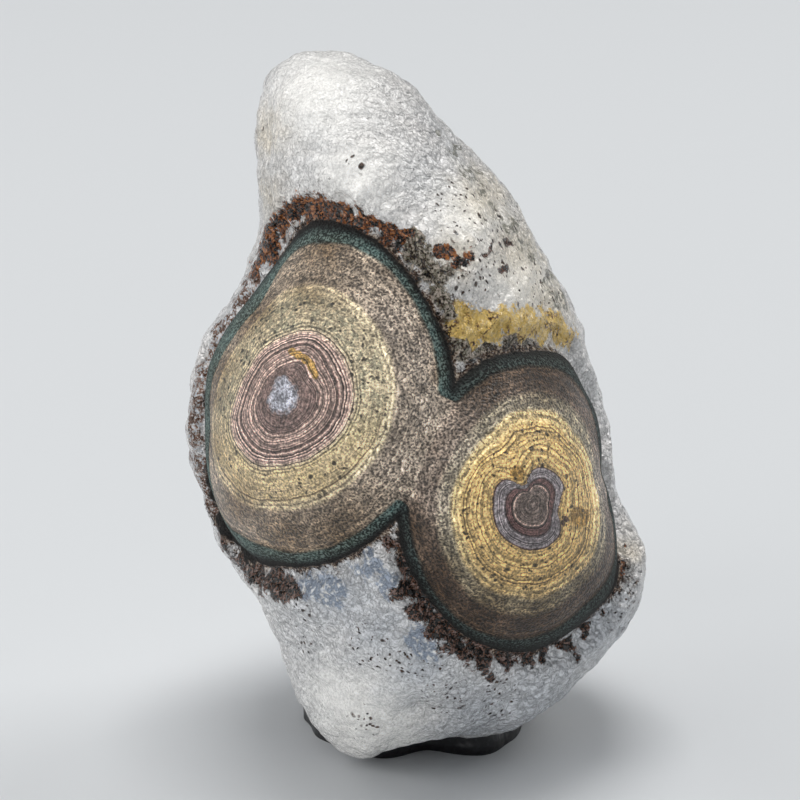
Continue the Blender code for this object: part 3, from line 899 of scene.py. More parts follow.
class Recipe:
    """The nodes of one material, added from the coordinates to the surface."""

    def __init__(self, name):
        self.material = bpy.data.materials.new(name)
        self.material.use_nodes = True
        self.tree = self.material.node_tree
        self.surface = self.tree.nodes["Principled BSDF"]
        self.surface.inputs["Metallic"].default_value = 0.0
        self.place = self.add("ShaderNodeTexCoord").outputs["Object"]

    def add(self, kind, **settings):
        """A new node with its settings."""
        node = self.tree.nodes.new(kind)
        for name, value in settings.items():
            setattr(node, name, value)
        return node

    def feed(self, socket, value):
        """Link another node's output to a socket, or set the socket's own value."""
        if isinstance(value, bpy.types.NodeSocket):
            self.tree.links.new(value, socket)
        elif socket.type == "RGBA":
            socket.default_value = (*np.broadcast_to(value, 3), 1.0)
        else:
            socket.default_value = value

    def stored(self, name):
        """A value kept at the points of the mesh."""
        return self.add("ShaderNodeAttribute", attribute_name=name)

    def math(self, operation, first, second=0.0):
        """One step of arithmetic."""
        node = self.add("ShaderNodeMath", operation=operation)
        for socket, value in zip(node.inputs, (first, second)):
            self.feed(socket, value)
        return node.outputs[0]

    def plus(self, first, *others):
        """The sum of some values."""
        for other in others:
            first = self.math("ADD", first, other)
        return first

    def times(self, first, *others):
        """The product of some values."""
        for other in others:
            first = self.math("MULTIPLY", first, other)
        return first

    def ease(self, value, low, high, start=0.0, end=1.0):
        """Ease from start to end as the value goes from low to high."""
        node = self.add("ShaderNodeMapRange", interpolation_type="SMOOTHSTEP")
        for name, number in (
            ("Value", value), ("From Min", low), ("From Max", high), ("To Min", start),
            ("To Max", end),
        ):
            self.feed(node.inputs[name], number)
        return node.outputs["Result"]

    def mix(self, share, under, over, blend="MIX"):
        """One colour or number laid over another."""
        node = self.add("ShaderNodeMix", data_type="RGBA", blend_type=blend)
        self.feed(node.inputs["Factor"], share)
        self.feed(node.inputs[UNDER], under)
        self.feed(node.inputs[OVER], over)
        return node.outputs[MIXED]

    def grain(self, size, detail=2.0, place=None, roughness=0.5):
        """Smooth random values round 0.5, in lumps of a size in the place's own units.

        With no place given, they lie in the object's coordinates, sized in millimetres.
        """
        node = self.add("ShaderNodeTexNoise")
        self.feed(node.inputs["Vector"], self.place if place is None else place)
        self.feed(node.inputs["Scale"], 1 / (size * MM) if place is None else 1 / size)
        self.feed(node.inputs["Detail"], detail)
        self.feed(node.inputs["Roughness"], roughness)
        return node.outputs["Fac"]

    def stripes(self, value, size, detail=2.0):
        """Random lines that follow a value, such as a count of rings."""
        node = self.add("ShaderNodeTexNoise", noise_dimensions="1D")
        self.feed(node.inputs["W"], value)
        self.feed(node.inputs["Scale"], 1 / size)
        self.feed(node.inputs["Detail"], detail)
        return node.outputs["Fac"]

    def shaken(self, size, amount):
        """The object's coordinates shaken by smooth noise, for cells of uneven shapes."""
        node = self.add("ShaderNodeTexNoise")
        self.feed(node.inputs["Vector"], self.place)
        self.feed(node.inputs["Scale"], 1 / (size * MM))
        self.feed(node.inputs["Detail"], 0.0)
        away = self.vector("SUBTRACT", node.outputs["Color"], (0.5, 0.5, 0.5))
        return self.vector("ADD", self.place, self.vector("SCALE", away, amount * MM))

    def cells(self, size, place):
        """Scattered cells of a size in millimetres."""
        node = self.add("ShaderNodeTexVoronoi")
        self.feed(node.inputs["Vector"], place)
        self.feed(node.inputs["Scale"], 1 / (size * MM))
        return node

    def ramp(self, value, stops):
        """A run of colours along a value, given as (value from 0 to 1, colour)."""
        node = self.add("ShaderNodeValToRGB")
        band = node.color_ramp
        while len(band.elements) < len(stops):
            band.elements.new(1.0)
        for element, (position, colour) in zip(band.elements, stops):
            element.position = max(position, 0.0)
            element.color = (*colour, 1.0)
        self.feed(node.inputs["Fac"], value)
        return node.outputs["Color"]

    def shades(self, value, stops, settings):
        """A run of the settings' colours along a value, given as (value, name of colour)."""
        return self.ramp(value, [(place, getattr(settings, name)) for place, name in stops])

    def part(self, vector, axis):
        """One part of a vector."""
        node = self.add("ShaderNodeSeparateXYZ")
        self.feed(node.inputs[0], vector)
        return node.outputs[axis]

    def vector(self, operation, first, second=None):
        """One step of arithmetic with vectors, or a vector times a number."""
        node = self.add("ShaderNodeVectorMath", operation=operation)
        self.feed(node.inputs[0], first)
        if second is not None:
            self.feed(node.inputs["Scale" if operation == "SCALE" else 1], second)
        return node.outputs["Vector"]

    def pointed(self, flat, count, factor):
        """A flat vector raised by a count, to read random streaks that follow the rings."""
        node = self.add("ShaderNodeCombineXYZ")
        self.feed(node.inputs["Z"], self.times(count, factor))
        return self.vector("ADD", flat, node.outputs["Vector"])

    def tint(self, shade, value):
        """A colour made lighter or darker."""
        return self.vector("SCALE", shade, value)

    def specks(self, place, spacing, radius, bare):
        """Uneven specks: spacing in millimetres, largest radius and share of places left bare."""
        node = self.cells(spacing, place)
        taken = self.math("GREATER_THAN", self.part(node.outputs["Color"], "X"), bare)
        chance = self.part(node.outputs["Color"], "Y")
        size = self.ease(chance, 0.0, 1.0, radius * SPECK_LEAST, radius)
        core = self.times(size, SPECK_CORE)
        return self.times(self.ease(node.outputs["Distance"], core, size, 1.0, 0.0), taken)

    def bump(self, height):
        """Give the surface a fine relief, its height in millimetres."""
        node = self.add("ShaderNodeBump")
        self.feed(node.inputs["Distance"], MM)
        self.feed(node.inputs["Height"], height)
        for name in ("Normal", "Coat Normal"):
            self.feed(self.surface.inputs[name], node.outputs["Normal"])


def ring_colours(recipe, count, bands, settings):
    """The colour at a count of rings, from bands given as (count, name of the colour)."""
    stops = [(ring / RINGS, name) for ring, name in bands]
    return recipe.shades(recipe.times(count, 1 / RINGS), stops, settings)


def ring_strengths(recipe, count, bands):
    """A strength at a count of rings, from bands given as (count, strength)."""
    stops = [(ring / RINGS, (strength,) * 3) for ring, strength in bands]
    return recipe.ramp(recipe.times(count, 1 / RINGS), stops)


def dark_lines(recipe, count, start, lines):
    """Lines of a band, given as (share of the way through it, half width, darkness)."""
    way = recipe.plus(count, -start)
    found = 0.0
    for first in range(0, len(lines), LINES_PER_RAMP):
        stops = []
        for middle, width, darkness in lines[first : first + LINES_PER_RAMP]:
            for place, grey in ((-width, 0.0), (0.0, darkness), (width, 0.0)):
                stops.append((middle + place, (grey,) * 3))
        found = recipe.math("MAXIMUM", found, recipe.ramp(way, stops))
    return found


def centred(recipe, value):
    """A random value shifted to lie round 0."""
    return recipe.plus(value, -0.5)


def make_patterns(recipe):
    """The random patterns that eyes and crust share, by name, and the place in the eyes."""
    places = [recipe.stored(name).outputs["Vector"] for name in ("left_eye", "right_eye")]
    counts = [recipe.part(place, "Z") for place in places]
    right = recipe.math("GREATER_THAN", *counts)
    bent = recipe.shaken(SHAKE_SIZE, SHAKE_REACH)
    grains, clots = recipe.grain(GRAIN_SIZE, 1.0), recipe.grain(CLOT_SIZE, 2.0)
    made = {
        "right": right,
        "left": recipe.math("SUBTRACT", 1.0, right),
        "below": recipe.ease(recipe.part(places[0], "Y"), *GOLDEN_REACH, 1.0, LEAST_GOLDEN),
        "grains": grains,
        "clots": clots,
        "mottle": recipe.grain(MOTTLE_SIZE, 2.0),
        "patches": recipe.grain(PATCH_SIZE, 2.0),
        "pebbles": recipe.cells(CELL_SIZE, bent).outputs["Distance"],
        "fine_specks": recipe.specks(bent, *FINE_SPECKS),
        "coarse_specks": recipe.specks(bent, *COARSE_SPECKS),
        "wrinkles": recipe.math("ABSOLUTE", centred(recipe, clots)),
    }
    crumbly = recipe.plus(recipe.times(clots, 0.5), recipe.times(grains, 0.5))
    made["crumbly"] = recipe.ease(crumbly, *CRUMBLY_EDGE)
    made["count"] = recipe.plus(
        recipe.math("MINIMUM", *counts),
        recipe.times(centred(recipe, made["patches"]), RING_SWAY),
        recipe.times(centred(recipe, clots), RING_TREMBLE),
    )
    ray = recipe.vector("NORMALIZE", recipe.vector(
        "MULTIPLY", recipe.mix(right, *places), (1.0, 1.0, 0.0)
    ))
    made["rings"] = recipe.stripes(made["count"], FINE_RING, 1.0)
    for name, around, out in STREAKS:
        place = recipe.pointed(recipe.vector("SCALE", ray, around), made["count"], out)
        made[name] = recipe.grain(1.0, 2.0, place)
    return made


def part_of(recipe, name):
    """How strongly a named stain or touch shows at each point."""
    return recipe.stored(name).outputs["Fac"]


def eye_bands(recipe, settings, made):
    """The bands of both eyes with their blotches, and the golden foot of the cream band."""
    count, left, right = made["count"], made["left"], made["right"]
    clots, below = made["clots"], made["below"]
    fuzzy = recipe.plus(count, recipe.times(
        centred(recipe, clots), recipe.ease(count, *FIBRE_END, FIBRE_FRAY, 0.0)
    ))
    shade = recipe.mix(
        right,
        ring_colours(recipe, fuzzy, LEFT_BANDS, settings),
        ring_colours(recipe, count, RIGHT_BANDS, settings),
    )
    band = recipe.times(
        recipe.ease(count, *WIDE_START), recipe.ease(count, *WIDE_END, 1.0, 0.0)
    )
    patchy = recipe.plus(clots, recipe.times(made["patches"], BLOTCH_PATCHY))
    blotchy = recipe.times(band, recipe.ease(patchy, *BLOTCH_EDGE))
    for strength, colour in (
        (recipe.times(blotchy, left, MOSS_STRENGTH), settings.moss),
        (recipe.times(blotchy, right, HONEY_STRENGTH), settings.honey),
        (recipe.times(band, left, below, GOLDEN_STRENGTH), settings.gold),
    ):
        shade = recipe.mix(strength, shade, colour)
    above = recipe.times(band, left, recipe.plus(below, -1.0), SHADE_ABOVE)
    return recipe.tint(shade, recipe.plus(1.0, above))


def eye_lines(recipe, settings, made, shade):
    """The dark lines of both eyes, drawn over the bands."""
    count, left, right = made["count"], made["left"], made["right"]
    lines = recipe.plus(*(
        recipe.times(dark_lines(recipe, count, start, drawn), *where)
        for start, drawn, where in (
            (1.0, CORE_LINES, (left,)), (2.0, LEFT_LINES, (left,)),
            (3.0, CREAM_LINES, (left, made["below"])), (1.0, MAROON_LINES, (right,)),
            (2.0, SLATE_LINES, (right,)), (3.0, RIGHT_LINES, (right,)),
        )
    ))
    lines = recipe.times(lines, recipe.ease(made["streaks"], *LINE_BREAKS, LINE_LEAST, 1.0))
    ink = recipe.mix(recipe.ease(count, *WIDE_START), settings.line, settings.umber)
    return recipe.mix(lines, shade, ink)


def eye_parts(recipe, settings, made, shade):
    """The painted light and painted shade of the eyes, and the touches of honey and burnt brown.
    """
    count = made["count"]
    # Painted light: the pale spots brighten the bands and lay a pearly tint on the outer ones
    pale = recipe.times(part_of(recipe, "pale"), recipe.ease(count, *PAINTED_LIGHT_END, 1.0, 0.0))
    shade = recipe.tint(shade, recipe.plus(1.0, recipe.times(pale, PAINTED_LIGHT_LIFT)))
    pearly = recipe.times(pale, recipe.ease(count, *PEARL_START), PEARL_STRENGTH)
    shade = recipe.mix(pearly, shade, settings.pearl)
    # Painted shade: the deep spots darken the bands
    deep = recipe.times(part_of(recipe, "deep"), recipe.ease(count, *PAINTED_SHADE_START))
    shade = recipe.mix(deep, shade, settings.painted_shade_tint, "MULTIPLY")
    for name, colour in (("honey", settings.honey), ("burn", settings.umber)):
        touch = recipe.plus(part_of(recipe, name), recipe.times(made["clots"], TOUCH_FRAY))
        shade = recipe.mix(recipe.ease(touch, *TOUCH_EDGE), shade, colour)
    return shade


def eye_finish(recipe, settings, made):
    """Colour and fine relief of both eyes."""
    count, left, right, grains = made["count"], made["left"], made["right"], made["grains"]
    lined = recipe.mix(
        right,
        ring_strengths(recipe, count, LEFT_LINED),
        ring_strengths(recipe, count, RIGHT_LINED),
    )
    shade = eye_bands(recipe, settings, made)
    shade = eye_lines(recipe, settings, made, shade)
    shade = eye_parts(recipe, settings, made, shade)
    grainy = recipe.ease(count, *GRAIN_START, GRAIN_INSIDE, 1.0)
    pupil = recipe.times(recipe.ease(count, *PUPIL_END, 1.0, 0.0), left)
    strengths = {"rings": lined, "streaks": grainy, "grains": grainy, "pebbles": pupil}
    for name, tints in SWINGS.items():
        swing = recipe.plus(recipe.ease(made[name], *SWING_EDGE, *tints), -1.0)
        swing = recipe.times(swing, strengths.get(name, 1.0))
        shade = recipe.tint(shade, recipe.plus(1.0, swing))
    mossy = recipe.times(
        recipe.ease(count, *MOSSY_START), recipe.ease(count, *MOSSY_END, 1.0, 0.0),
        recipe.ease(grains, *MOSSY_EDGE),
        recipe.plus(MOSSY_RIGHT, recipe.times(left, MOSSY_MORE)),
    )
    shade = recipe.mix(mossy, shade, settings.verdigris)
    speckled = recipe.times(
        recipe.ease(count, *SPECKED_START), recipe.ease(count, *SPECKED_END, 1.0, SPECKED_LEAST)
    )
    specks = recipe.math("MAXIMUM", made["fine_specks"], made["coarse_specks"])
    shade = recipe.mix(recipe.times(specks, speckled, SPECK_STRENGTH), shade, settings.dark)
    height = recipe.plus(
        recipe.times(grains, grainy, GRAIN_RELIEF),
        recipe.times(made["rings"], lined, RING_RELIEF),
    )
    return shade, height


def crust_patterns(recipe, made):
    """Add the patterns that only the crust has."""
    made["fray"] = recipe.plus(
        centred(recipe, recipe.grain(FRAY_SIZE, FRAY_DETAIL, roughness=FRAY_ROUGHNESS)),
        recipe.times(centred(recipe, made["grains"]), FRAY_MORE),
    )
    made["spiky"] = recipe.plus(
        made["fray"], recipe.times(centred(recipe, made["spikes"]), FRAY_MORE)
    )
    creases = recipe.math("ABSOLUTE", centred(recipe, recipe.grain(CRUST_CRACKS, 2.0)))
    made["cracked"] = recipe.ease(creases, 0.0, CRACK_WIDTH)
    made["wrinkled"] = recipe.ease(made["wrinkles"], 0.0, CRACK_WIDTH)
    made["rugged"] = recipe.plus(1.0, recipe.times(part_of(recipe, "milk"), -MILK_SMOOTH))
    made["behind"] = part_of(recipe, "behind")
    made["weather"] = recipe.grain(CRUST_WEATHER, 3.0)


def plain_crust(recipe, settings, made):
    """The white of the crust under its stains: shades, weathering, creases and grain."""

    def weathered(start, whole, strength):
        there = recipe.ease(made["weather"], start, whole)
        return recipe.times(made["behind"], there, strength)

    broad = recipe.ease(recipe.grain(CRUST_SHADES, 1.0), *BROAD_EDGE)
    white = recipe.mix(broad, settings.crust, settings.crust_shade)
    for share, colour in (
        # Milk spots whiten the crust, partly as painted light
        (recipe.times(part_of(recipe, "milk"), MILK_AND_LIGHT_STRENGTH), settings.milk),
        # Cool spots tint the crust bluish grey, partly as painted shade
        (recipe.times(part_of(recipe, "cool"), COOL_AND_SHADE_STRENGTH), settings.cool),
        (weathered(*COOL_WEATHER), settings.cool),
    ):
        white = recipe.mix(share, white, colour)
    warmed = recipe.plus(part_of(recipe, "warm"), weathered(*WARM_WEATHER))
    white = recipe.mix(warmed, white, settings.warm, "MULTIPLY")
    white = recipe.tint(white, recipe.ease(made["mottle"], *MOTTLE_TINT))
    for name, depth in CREASES.items():
        drawn = recipe.times(recipe.plus(made[name], -1.0), made["rugged"], depth)
        white = recipe.tint(white, recipe.plus(CREASE_LIFT, drawn))
    return recipe.tint(white, recipe.ease(made["grains"], *GRAIN_TINT))


def stained_crust(recipe, settings, made, gap, white):
    """The crust with its stains, from the clear patches to the rust of the broken edge."""
    clots, crumbly, mottle = made["clots"], made["crumbly"], made["mottle"]

    def stained(name, amount=1.0, edge="fray"):
        strength = part_of(recipe, name)
        wandering = recipe.plus(strength, recipe.times(made[edge], STAIN_FRAY))
        there = recipe.ease(strength, *STAIN_END)
        return recipe.times(recipe.ease(wandering, *STAIN_EDGE), there, amount)

    # The clear patches' ramp partly paints their glints and shade
    clear = recipe.shades(clots, CLEAR_AND_GLINT_COLOURS, settings)
    white = recipe.mix(stained("blue", CLEAR_STRENGTH), white, clear)
    # The grey veil is partly painted shade in the crease between the top and the right side
    veiled = recipe.times(stained("grey", VEIL_STRENGTH), recipe.ease(clots, *VEIL_EDGE))
    white = recipe.mix(veiled, white, settings.moss)
    dotted = recipe.ease(recipe.plus(
        part_of(recipe, "dots"), recipe.times(mottle, DOTS_PATCHY),
        recipe.times(made["behind"], centred(recipe, made["weather"])),
    ), *DOTS_EDGE)
    dots = recipe.plus(made["fine_specks"], made["coarse_specks"])
    brown = recipe.mix(crumbly, settings.dark, settings.umber)
    white = recipe.mix(recipe.times(dots, dotted), white, brown)
    clouded = recipe.plus(
        recipe.times(crumbly, 0.5), recipe.ease(mottle, *CLOUDY_EDGE, 0.0, 0.5)
    )
    ochre = recipe.shades(clouded, OCHRE_COLOURS, settings)
    white = recipe.mix(stained("ochre"), white, ochre)
    dirt = recipe.plus(gap, recipe.times(made["fray"], DIRT_FRAY), part_of(recipe, "clean"))
    shares = {
        "soot": stained("soot"),
        "dirt": recipe.ease(dirt, *DIRT_EDGE, 1.0, 0.0),
        "flank": stained("flank"),
        "rust": stained("rust", edge="spiky"),
        "brown": stained("brown", edge="spiky"),
    }
    for name, stops in STAIN_COLOURS.items():
        white = recipe.mix(shares[name], white, recipe.shades(crumbly, stops, settings))
    return white


def crust_relief(recipe, made):
    """Fine relief of the crust: cracks, wrinkles, domes and grain."""
    domed = recipe.ease(made["pebbles"], 0.0, DOME_FOOT, 1.0, 0.0)
    rough_skin = recipe.plus(
        recipe.times(made["cracked"], CRACK_RELIEF),
        recipe.times(made["wrinkled"], WRINKLE_RELIEF),
        recipe.times(domed, DOME_RELIEF),
    )
    return recipe.plus(
        recipe.times(rough_skin, made["rugged"]),
        recipe.times(made["grains"], CRUST_GRAIN_RELIEF),
    )


def stone_material(settings):
    """The finish of the stone: banded eyes in a pebbled white crust."""
    recipe = Recipe("eye_agate")
    made = make_patterns(recipe)
    crust_patterns(recipe, made)
    gap = part_of(recipe, "gap")
    eyes, eye_height = eye_finish(recipe, settings, made)
    white = stained_crust(recipe, settings, made, gap, plain_crust(recipe, settings, made))
    frayed = recipe.plus(gap, recipe.times(made["mottle"], RIM_FRAY), -RIM_FRAY / 2)
    outside = recipe.ease(frayed, -RIM_EDGE, RIM_EDGE)
    shade = recipe.mix(outside, eyes, white)
    shade = recipe.tint(shade, recipe.ease(part_of(recipe, "tone"), 0.0, 1.0, *TONES))
    recipe.feed(recipe.surface.inputs["Base Color"], shade)
    for name, eye, rim, crust in (
        ("Roughness", EYE_ROUGHNESS, RIM_ROUGHNESS, CRUST_ROUGHNESS),
        ("Coat Weight", EYE_COAT, 0.0, CRUST_COAT),
    ):
        inside = recipe.ease(made["count"], *RIM_START, eye, rim)
        recipe.feed(recipe.surface.inputs[name], recipe.mix(outside, inside, crust))
    recipe.surface.inputs["Coat Roughness"].default_value = COAT_ROUGHNESS
    recipe.bump(recipe.plus(
        recipe.times(outside, crust_relief(recipe, made)),
        recipe.times(recipe.math("SUBTRACT", 1.0, outside), eye_height),
    ))
    return recipe.material


def make_stone(settings):
    """The stone on a fine mesh: eyes, crust ledges, lumps and pebbles, and what it stores.

    The eyes are drawn on the plain form first. Each further round draws them again on the
    stone that the last one gave, so that rings and rims show where their outlines say.
    """
    mesh, ball = even_ball(STONE_GRID, FRONT_DRIFT)
    plain = plain_stone(ball)
    set_points(mesh, plain)
    out = get_normals(mesh)
    lumps, wander = crust_lumps(plain, settings)
    points = plain
    eyes = draw_eyes(show_face)
    for _ in range(DRAWING_ROUNDS):
        shares, gap = crust_line(eyes, points)
        points = plain + out * relief(shares, gap, lumps, wander)[:, None]
        set_points(mesh, points)
        eyes = draw_eyes(Surface(mesh))
    u, v = seen_places(points)
    facing = smooth_step(-(out @ AHEAD) / FACING_EDGE)
    low, high = BRIDGE_FADE
    bridge = smooth_step((stain(u, v, facing, BRIDGE_SPOTS) - low) / (high - low))
    for name, eye in zip(("left_eye", "right_eye"), eyes):
        place = eye.map(points)
        place[:, 2] -= bridge * np.maximum(place[:, 2] - BRIDGE_COUNT, 0.0)
        store(mesh, name, place)
    _, gap = crust_line(eyes, points)
    store(mesh, "gap", gap - BRIDGE_SUNK * bridge)
    for name, spots in TOUCHES.items():
        store(mesh, name, stain(u, v, facing, spots))
    u = u + STAIN_WANDER * rough(points, STAIN_LOBES)
    v = v + STAIN_WANDER * rough(-points, STAIN_LOBES)
    # Stains, with the painted light and shade of crust and eyes
    stains = {name: stain(u, v, facing, spots) for name, spots in STAINS_AND_PAINTED_LIGHT.items()}
    for name, strength in stains.items():
        store(mesh, name, strength)
    ledge = np.exp(-(((gap - GRIT_MIDDLE) / GRIT_REACH) ** 2))
    grit = np.max([ledge, *(stains[name] for name in GRITTY)], axis=0)
    grit *= smooth_step(0.5 + GRIT_PATCHY * rough(points, GRIT_CLUSTER))
    store(mesh, "grit", np.clip((grit - GRIT_LEAST) / (1 - GRIT_LEAST), 0.0, 1.0))
    store(mesh, "tone", np.full(len(points), 0.5))
    store(mesh, "behind", smooth_step((out @ AHEAD) / BEHIND_EDGE))
    mesh.shade_smooth()
    mesh.materials.append(stone_material(settings))
    stone = add_object("agate_looks", mesh)
    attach(stone, "root")
    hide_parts("agate")
    return stone


def crumb_tree(material):
    """Nodes that scatter crumbs over the gritty parts of a mesh, with sizes as inputs."""
    tree = bpy.data.node_groups.new("scatter_crumbs", "GeometryNodeTree")
    for name, side, kind in (
        ("Geometry", "INPUT", "Geometry"), ("Radius", "INPUT", "Float"),
        ("Crowding", "INPUT", "Float"), ("Seed", "INPUT", "Int"),
        ("Geometry", "OUTPUT", "Geometry"),
    ):
        tree.interface.new_socket(name, in_out=side, socket_type="NodeSocket" + kind)

    def add(kind, **inputs):
        node = tree.nodes.new(kind)
        for name, value in inputs.items():
            socket = node.inputs[name.replace("_", " ")]
            if isinstance(value, bpy.types.NodeSocket):
                tree.links.new(value, socket)
            else:
                socket.default_value = value
        return node

    def product(first, second):
        node = tree.nodes.new("ShaderNodeMath")
        node.operation = "MULTIPLY"
        tree.links.new(first, node.inputs[0])
        tree.links.new(second, node.inputs[1])
        return node.outputs[0]

    given = tree.nodes.new("NodeGroupInput").outputs
    grit = add("GeometryNodeInputNamedAttribute", Name="grit").outputs["Attribute"]
    points = add(
        "GeometryNodeDistributePointsOnFaces", Mesh=given["Geometry"],
        Density=product(grit, given["Crowding"]), Seed=given["Seed"],
    )
    spread, turned, tones = (add("FunctionNodeRandomValue", Seed=seed) for seed in (1, 2, 3))
    spread.data_type = turned.data_type = "FLOAT_VECTOR"
    spread.inputs[0].default_value = CRUMB_LEAST
    spread.inputs[1].default_value = CRUMB_MOST
    turned.inputs[1].default_value = (FULL_TURN,) * 3
    crumb = add("GeometryNodeMeshIcoSphere", Radius=given["Radius"], Subdivisions=1)
    strewn = add(
        "GeometryNodeInstanceOnPoints", Points=points.outputs["Points"],
        Instance=crumb.outputs["Mesh"], Rotation=turned.outputs[0], Scale=spread.outputs[0],
    )
    toned = add(
        "GeometryNodeStoreNamedAttribute", Geometry=strewn.outputs["Instances"], Name="tone",
        Value=tones.outputs[1],
    )
    toned.domain = "INSTANCE"
    real = add("GeometryNodeRealizeInstances", Geometry=toned.outputs["Geometry"])
    worn = add(
        "GeometryNodeSetMaterial", Geometry=real.outputs["Geometry"], Material=material
    )
    add("NodeGroupOutput", Geometry=worn.outputs["Geometry"])
    return tree


def make_crumbs(settings, stone):
    """Crumbs of crust and mineral that stick along the broken edges and in the stains."""
    tree = crumb_tree(stone.data.materials[0])
    scatter = stone.modifiers.new("crumbs", "NODES")
    scatter.node_group = tree
    wanted = {
        "Radius": settings.radius,
        "Crowding": settings.crowding / MM**2,
        "Seed": settings.seed,
    }
    for socket in tree.interface.items_tree:
        if socket.in_out == "INPUT" and socket.name in wanted:
            scatter[socket.identifier] = wanted[socket.name]
    ready = stone.evaluated_get(bpy.context.evaluated_depsgraph_get())
    mesh = bpy.data.meshes.new_from_object(ready)
    stone.modifiers.remove(scatter)
    if not mesh.polygons:
        raise RuntimeError("no crumbs were strewn: the stone stores no grit")
    mesh.name = "crumbs"
    mesh.shade_smooth()
    crumbs = add_object("crumbs", mesh)
    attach(crumbs, "root")
    return crumbs


def make_putty(settings, stone):
    """The pad: a low pressed lump that the stone has sunk into."""
    lump = bmesh.new()
    bmesh.ops.create_uvsphere(lump, u_segments=PAD_SIDES, v_segments=PAD_LEVELS, radius=1.0)
    turns = np.radians([turn for turn, _ in PAD_OUTLINE])
    radii = np.array([radius for _, radius in PAD_OUTLINE], dtype=float)
    tree = BVHTree.FromObject(stone, bpy.context.evaluated_depsgraph_get())
    for vert in lump.verts:
        turn = math.atan2(vert.co.y, vert.co.x) % FULL_TURN
        out = math.hypot(vert.co.x, vert.co.y)
        edge = float(smooth_loop(np.array([turn]), turns, radii)[0])
        rise = max(vert.co.z, 0.0) ** PAD_BULGE
        radius = edge * out * (PAD_FOOT if vert.co.z < FOOT_TOP else 1.0)
        radius *= 1 + PAD_LUMPS * noise.noise(LUMPS_ACROSS * vert.co)
        x = PAD_MIDDLE[0] - CENTRE[0] + radius * math.cos(turn)
        y = PAD_MIDDLE[1] - CENTRE[1] + radius * math.sin(turn)
        dent = 1 + settings.dents * noise.noise(Vector((x, y, 0)) / PIMPLE_SIZE)
        place = Vector((x, y, PAD_HEIGHT * rise * dent)) * MM
        hit = tree.ray_cast(Vector((place.x, place.y, -MM)), Vector((0, 0, 1)))[0]
        if hit:
            place.z = max(min(place.z, hit.z - PRESS_GAP * MM), 0.0)
        vert.co = place
    mesh = bpy.data.meshes.new("putty_looks")
    lump.to_mesh(mesh)
    lump.free()
    mesh.shade_smooth()
    mesh.materials.append(putty_material(settings))
    pad = add_object("putty_looks", mesh)
    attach(pad, "root")
    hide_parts("putty_pad")
    return pad


def putty_material(settings):
    """Satin black putty with thumb marks and a little dust."""
    recipe = Recipe("black_putty")
    dust = recipe.ease(recipe.grain(DUST_SIZE, 3.0), 0.5, 0.8)
    shade = recipe.mix(recipe.times(dust, DUST_STRENGTH), settings.colour, settings.dust)
    recipe.feed(recipe.surface.inputs["Base Color"], shade)
    smeared = recipe.ease(recipe.grain(SMEAR_SIZE, 2.0), 0.3, 0.7, *SMEAR_ROUGHNESS)
    recipe.feed(recipe.surface.inputs["Roughness"], smeared)
    recipe.bump(recipe.plus(
        recipe.times(recipe.grain(THUMB_SIZE, 2.0), THUMB_RELIEF),
        recipe.times(recipe.grain(SPECKLE_SIZE, 2.0), SPECKLE_RELIEF),
    ))
    return recipe.material


def make_stage(settings):
    """The pale floor, the soft lights, the pale surroundings and the camera."""
    scene = bpy.context.scene
    floor_mesh = bpy.data.meshes.new("floor")
    disc = bmesh.new()
    bmesh.ops.create_circle(
        disc, cap_ends=True, segments=FLOOR_SIDES, radius=settings.floor_radius
    )
    disc.to_mesh(floor_mesh)
    disc.free()
    recipe = Recipe("pale_floor")
    recipe.feed(recipe.surface.inputs["Base Color"], settings.floor)
    recipe.feed(recipe.surface.inputs["Roughness"], FLOOR_ROUGHNESS)
    floor_mesh.materials.append(recipe.material)
    floor = add_object("floor", floor_mesh)

    for name, place, size, power in LAMPS:
        lamp = bpy.data.lights.new(name, "AREA")
        lamp.size = size
        lamp.energy = power * settings.light
        lamp.color = settings.light_colour
        holder = add_object(name, lamp)
        holder.location = place
        aim = Vector((0, 0, LAMP_AIM)) - Vector(place)
        holder.rotation_euler = aim.to_track_quat("-Z", "Y").to_euler()

    world = bpy.data.worlds.new("pale_surroundings")
    world.use_nodes = True
    sky = world.node_tree.nodes["Background"]
    sky.inputs["Color"].default_value = (*settings.surroundings, 1.0)
    sky.inputs["Strength"].default_value = settings.surround_light
    scene.world = world
    scene.view_settings.view_transform = "Standard"

    lens = bpy.data.cameras.new("camera")
    lens.sensor_width = SENSOR
    lens.lens = PIXELS_PER_MM * VIEW_DISTANCE * SENSOR / FRAME_PIXELS
    lens.clip_start = CLIP_START
    camera = add_object("camera", lens)
    camera.location = CAMERA * MM
    camera.rotation_euler = (math.pi / 2 - LEAN, 0, 0)
    scene.camera = camera


def shade(name, description, value):
    """A colour that a user would change."""
    return FloatVectorProperty(
        name=name, description=description, subtype="COLOR", size=3, min=0.0, max=1.0,
        default=value,
    )


def length(name, description, value):
    """A length that a user would change, in metres."""
    return FloatProperty(
        name=name, description=description, subtype="DISTANCE", unit="LENGTH", min=0.0,
        precision=5, default=value,
    )


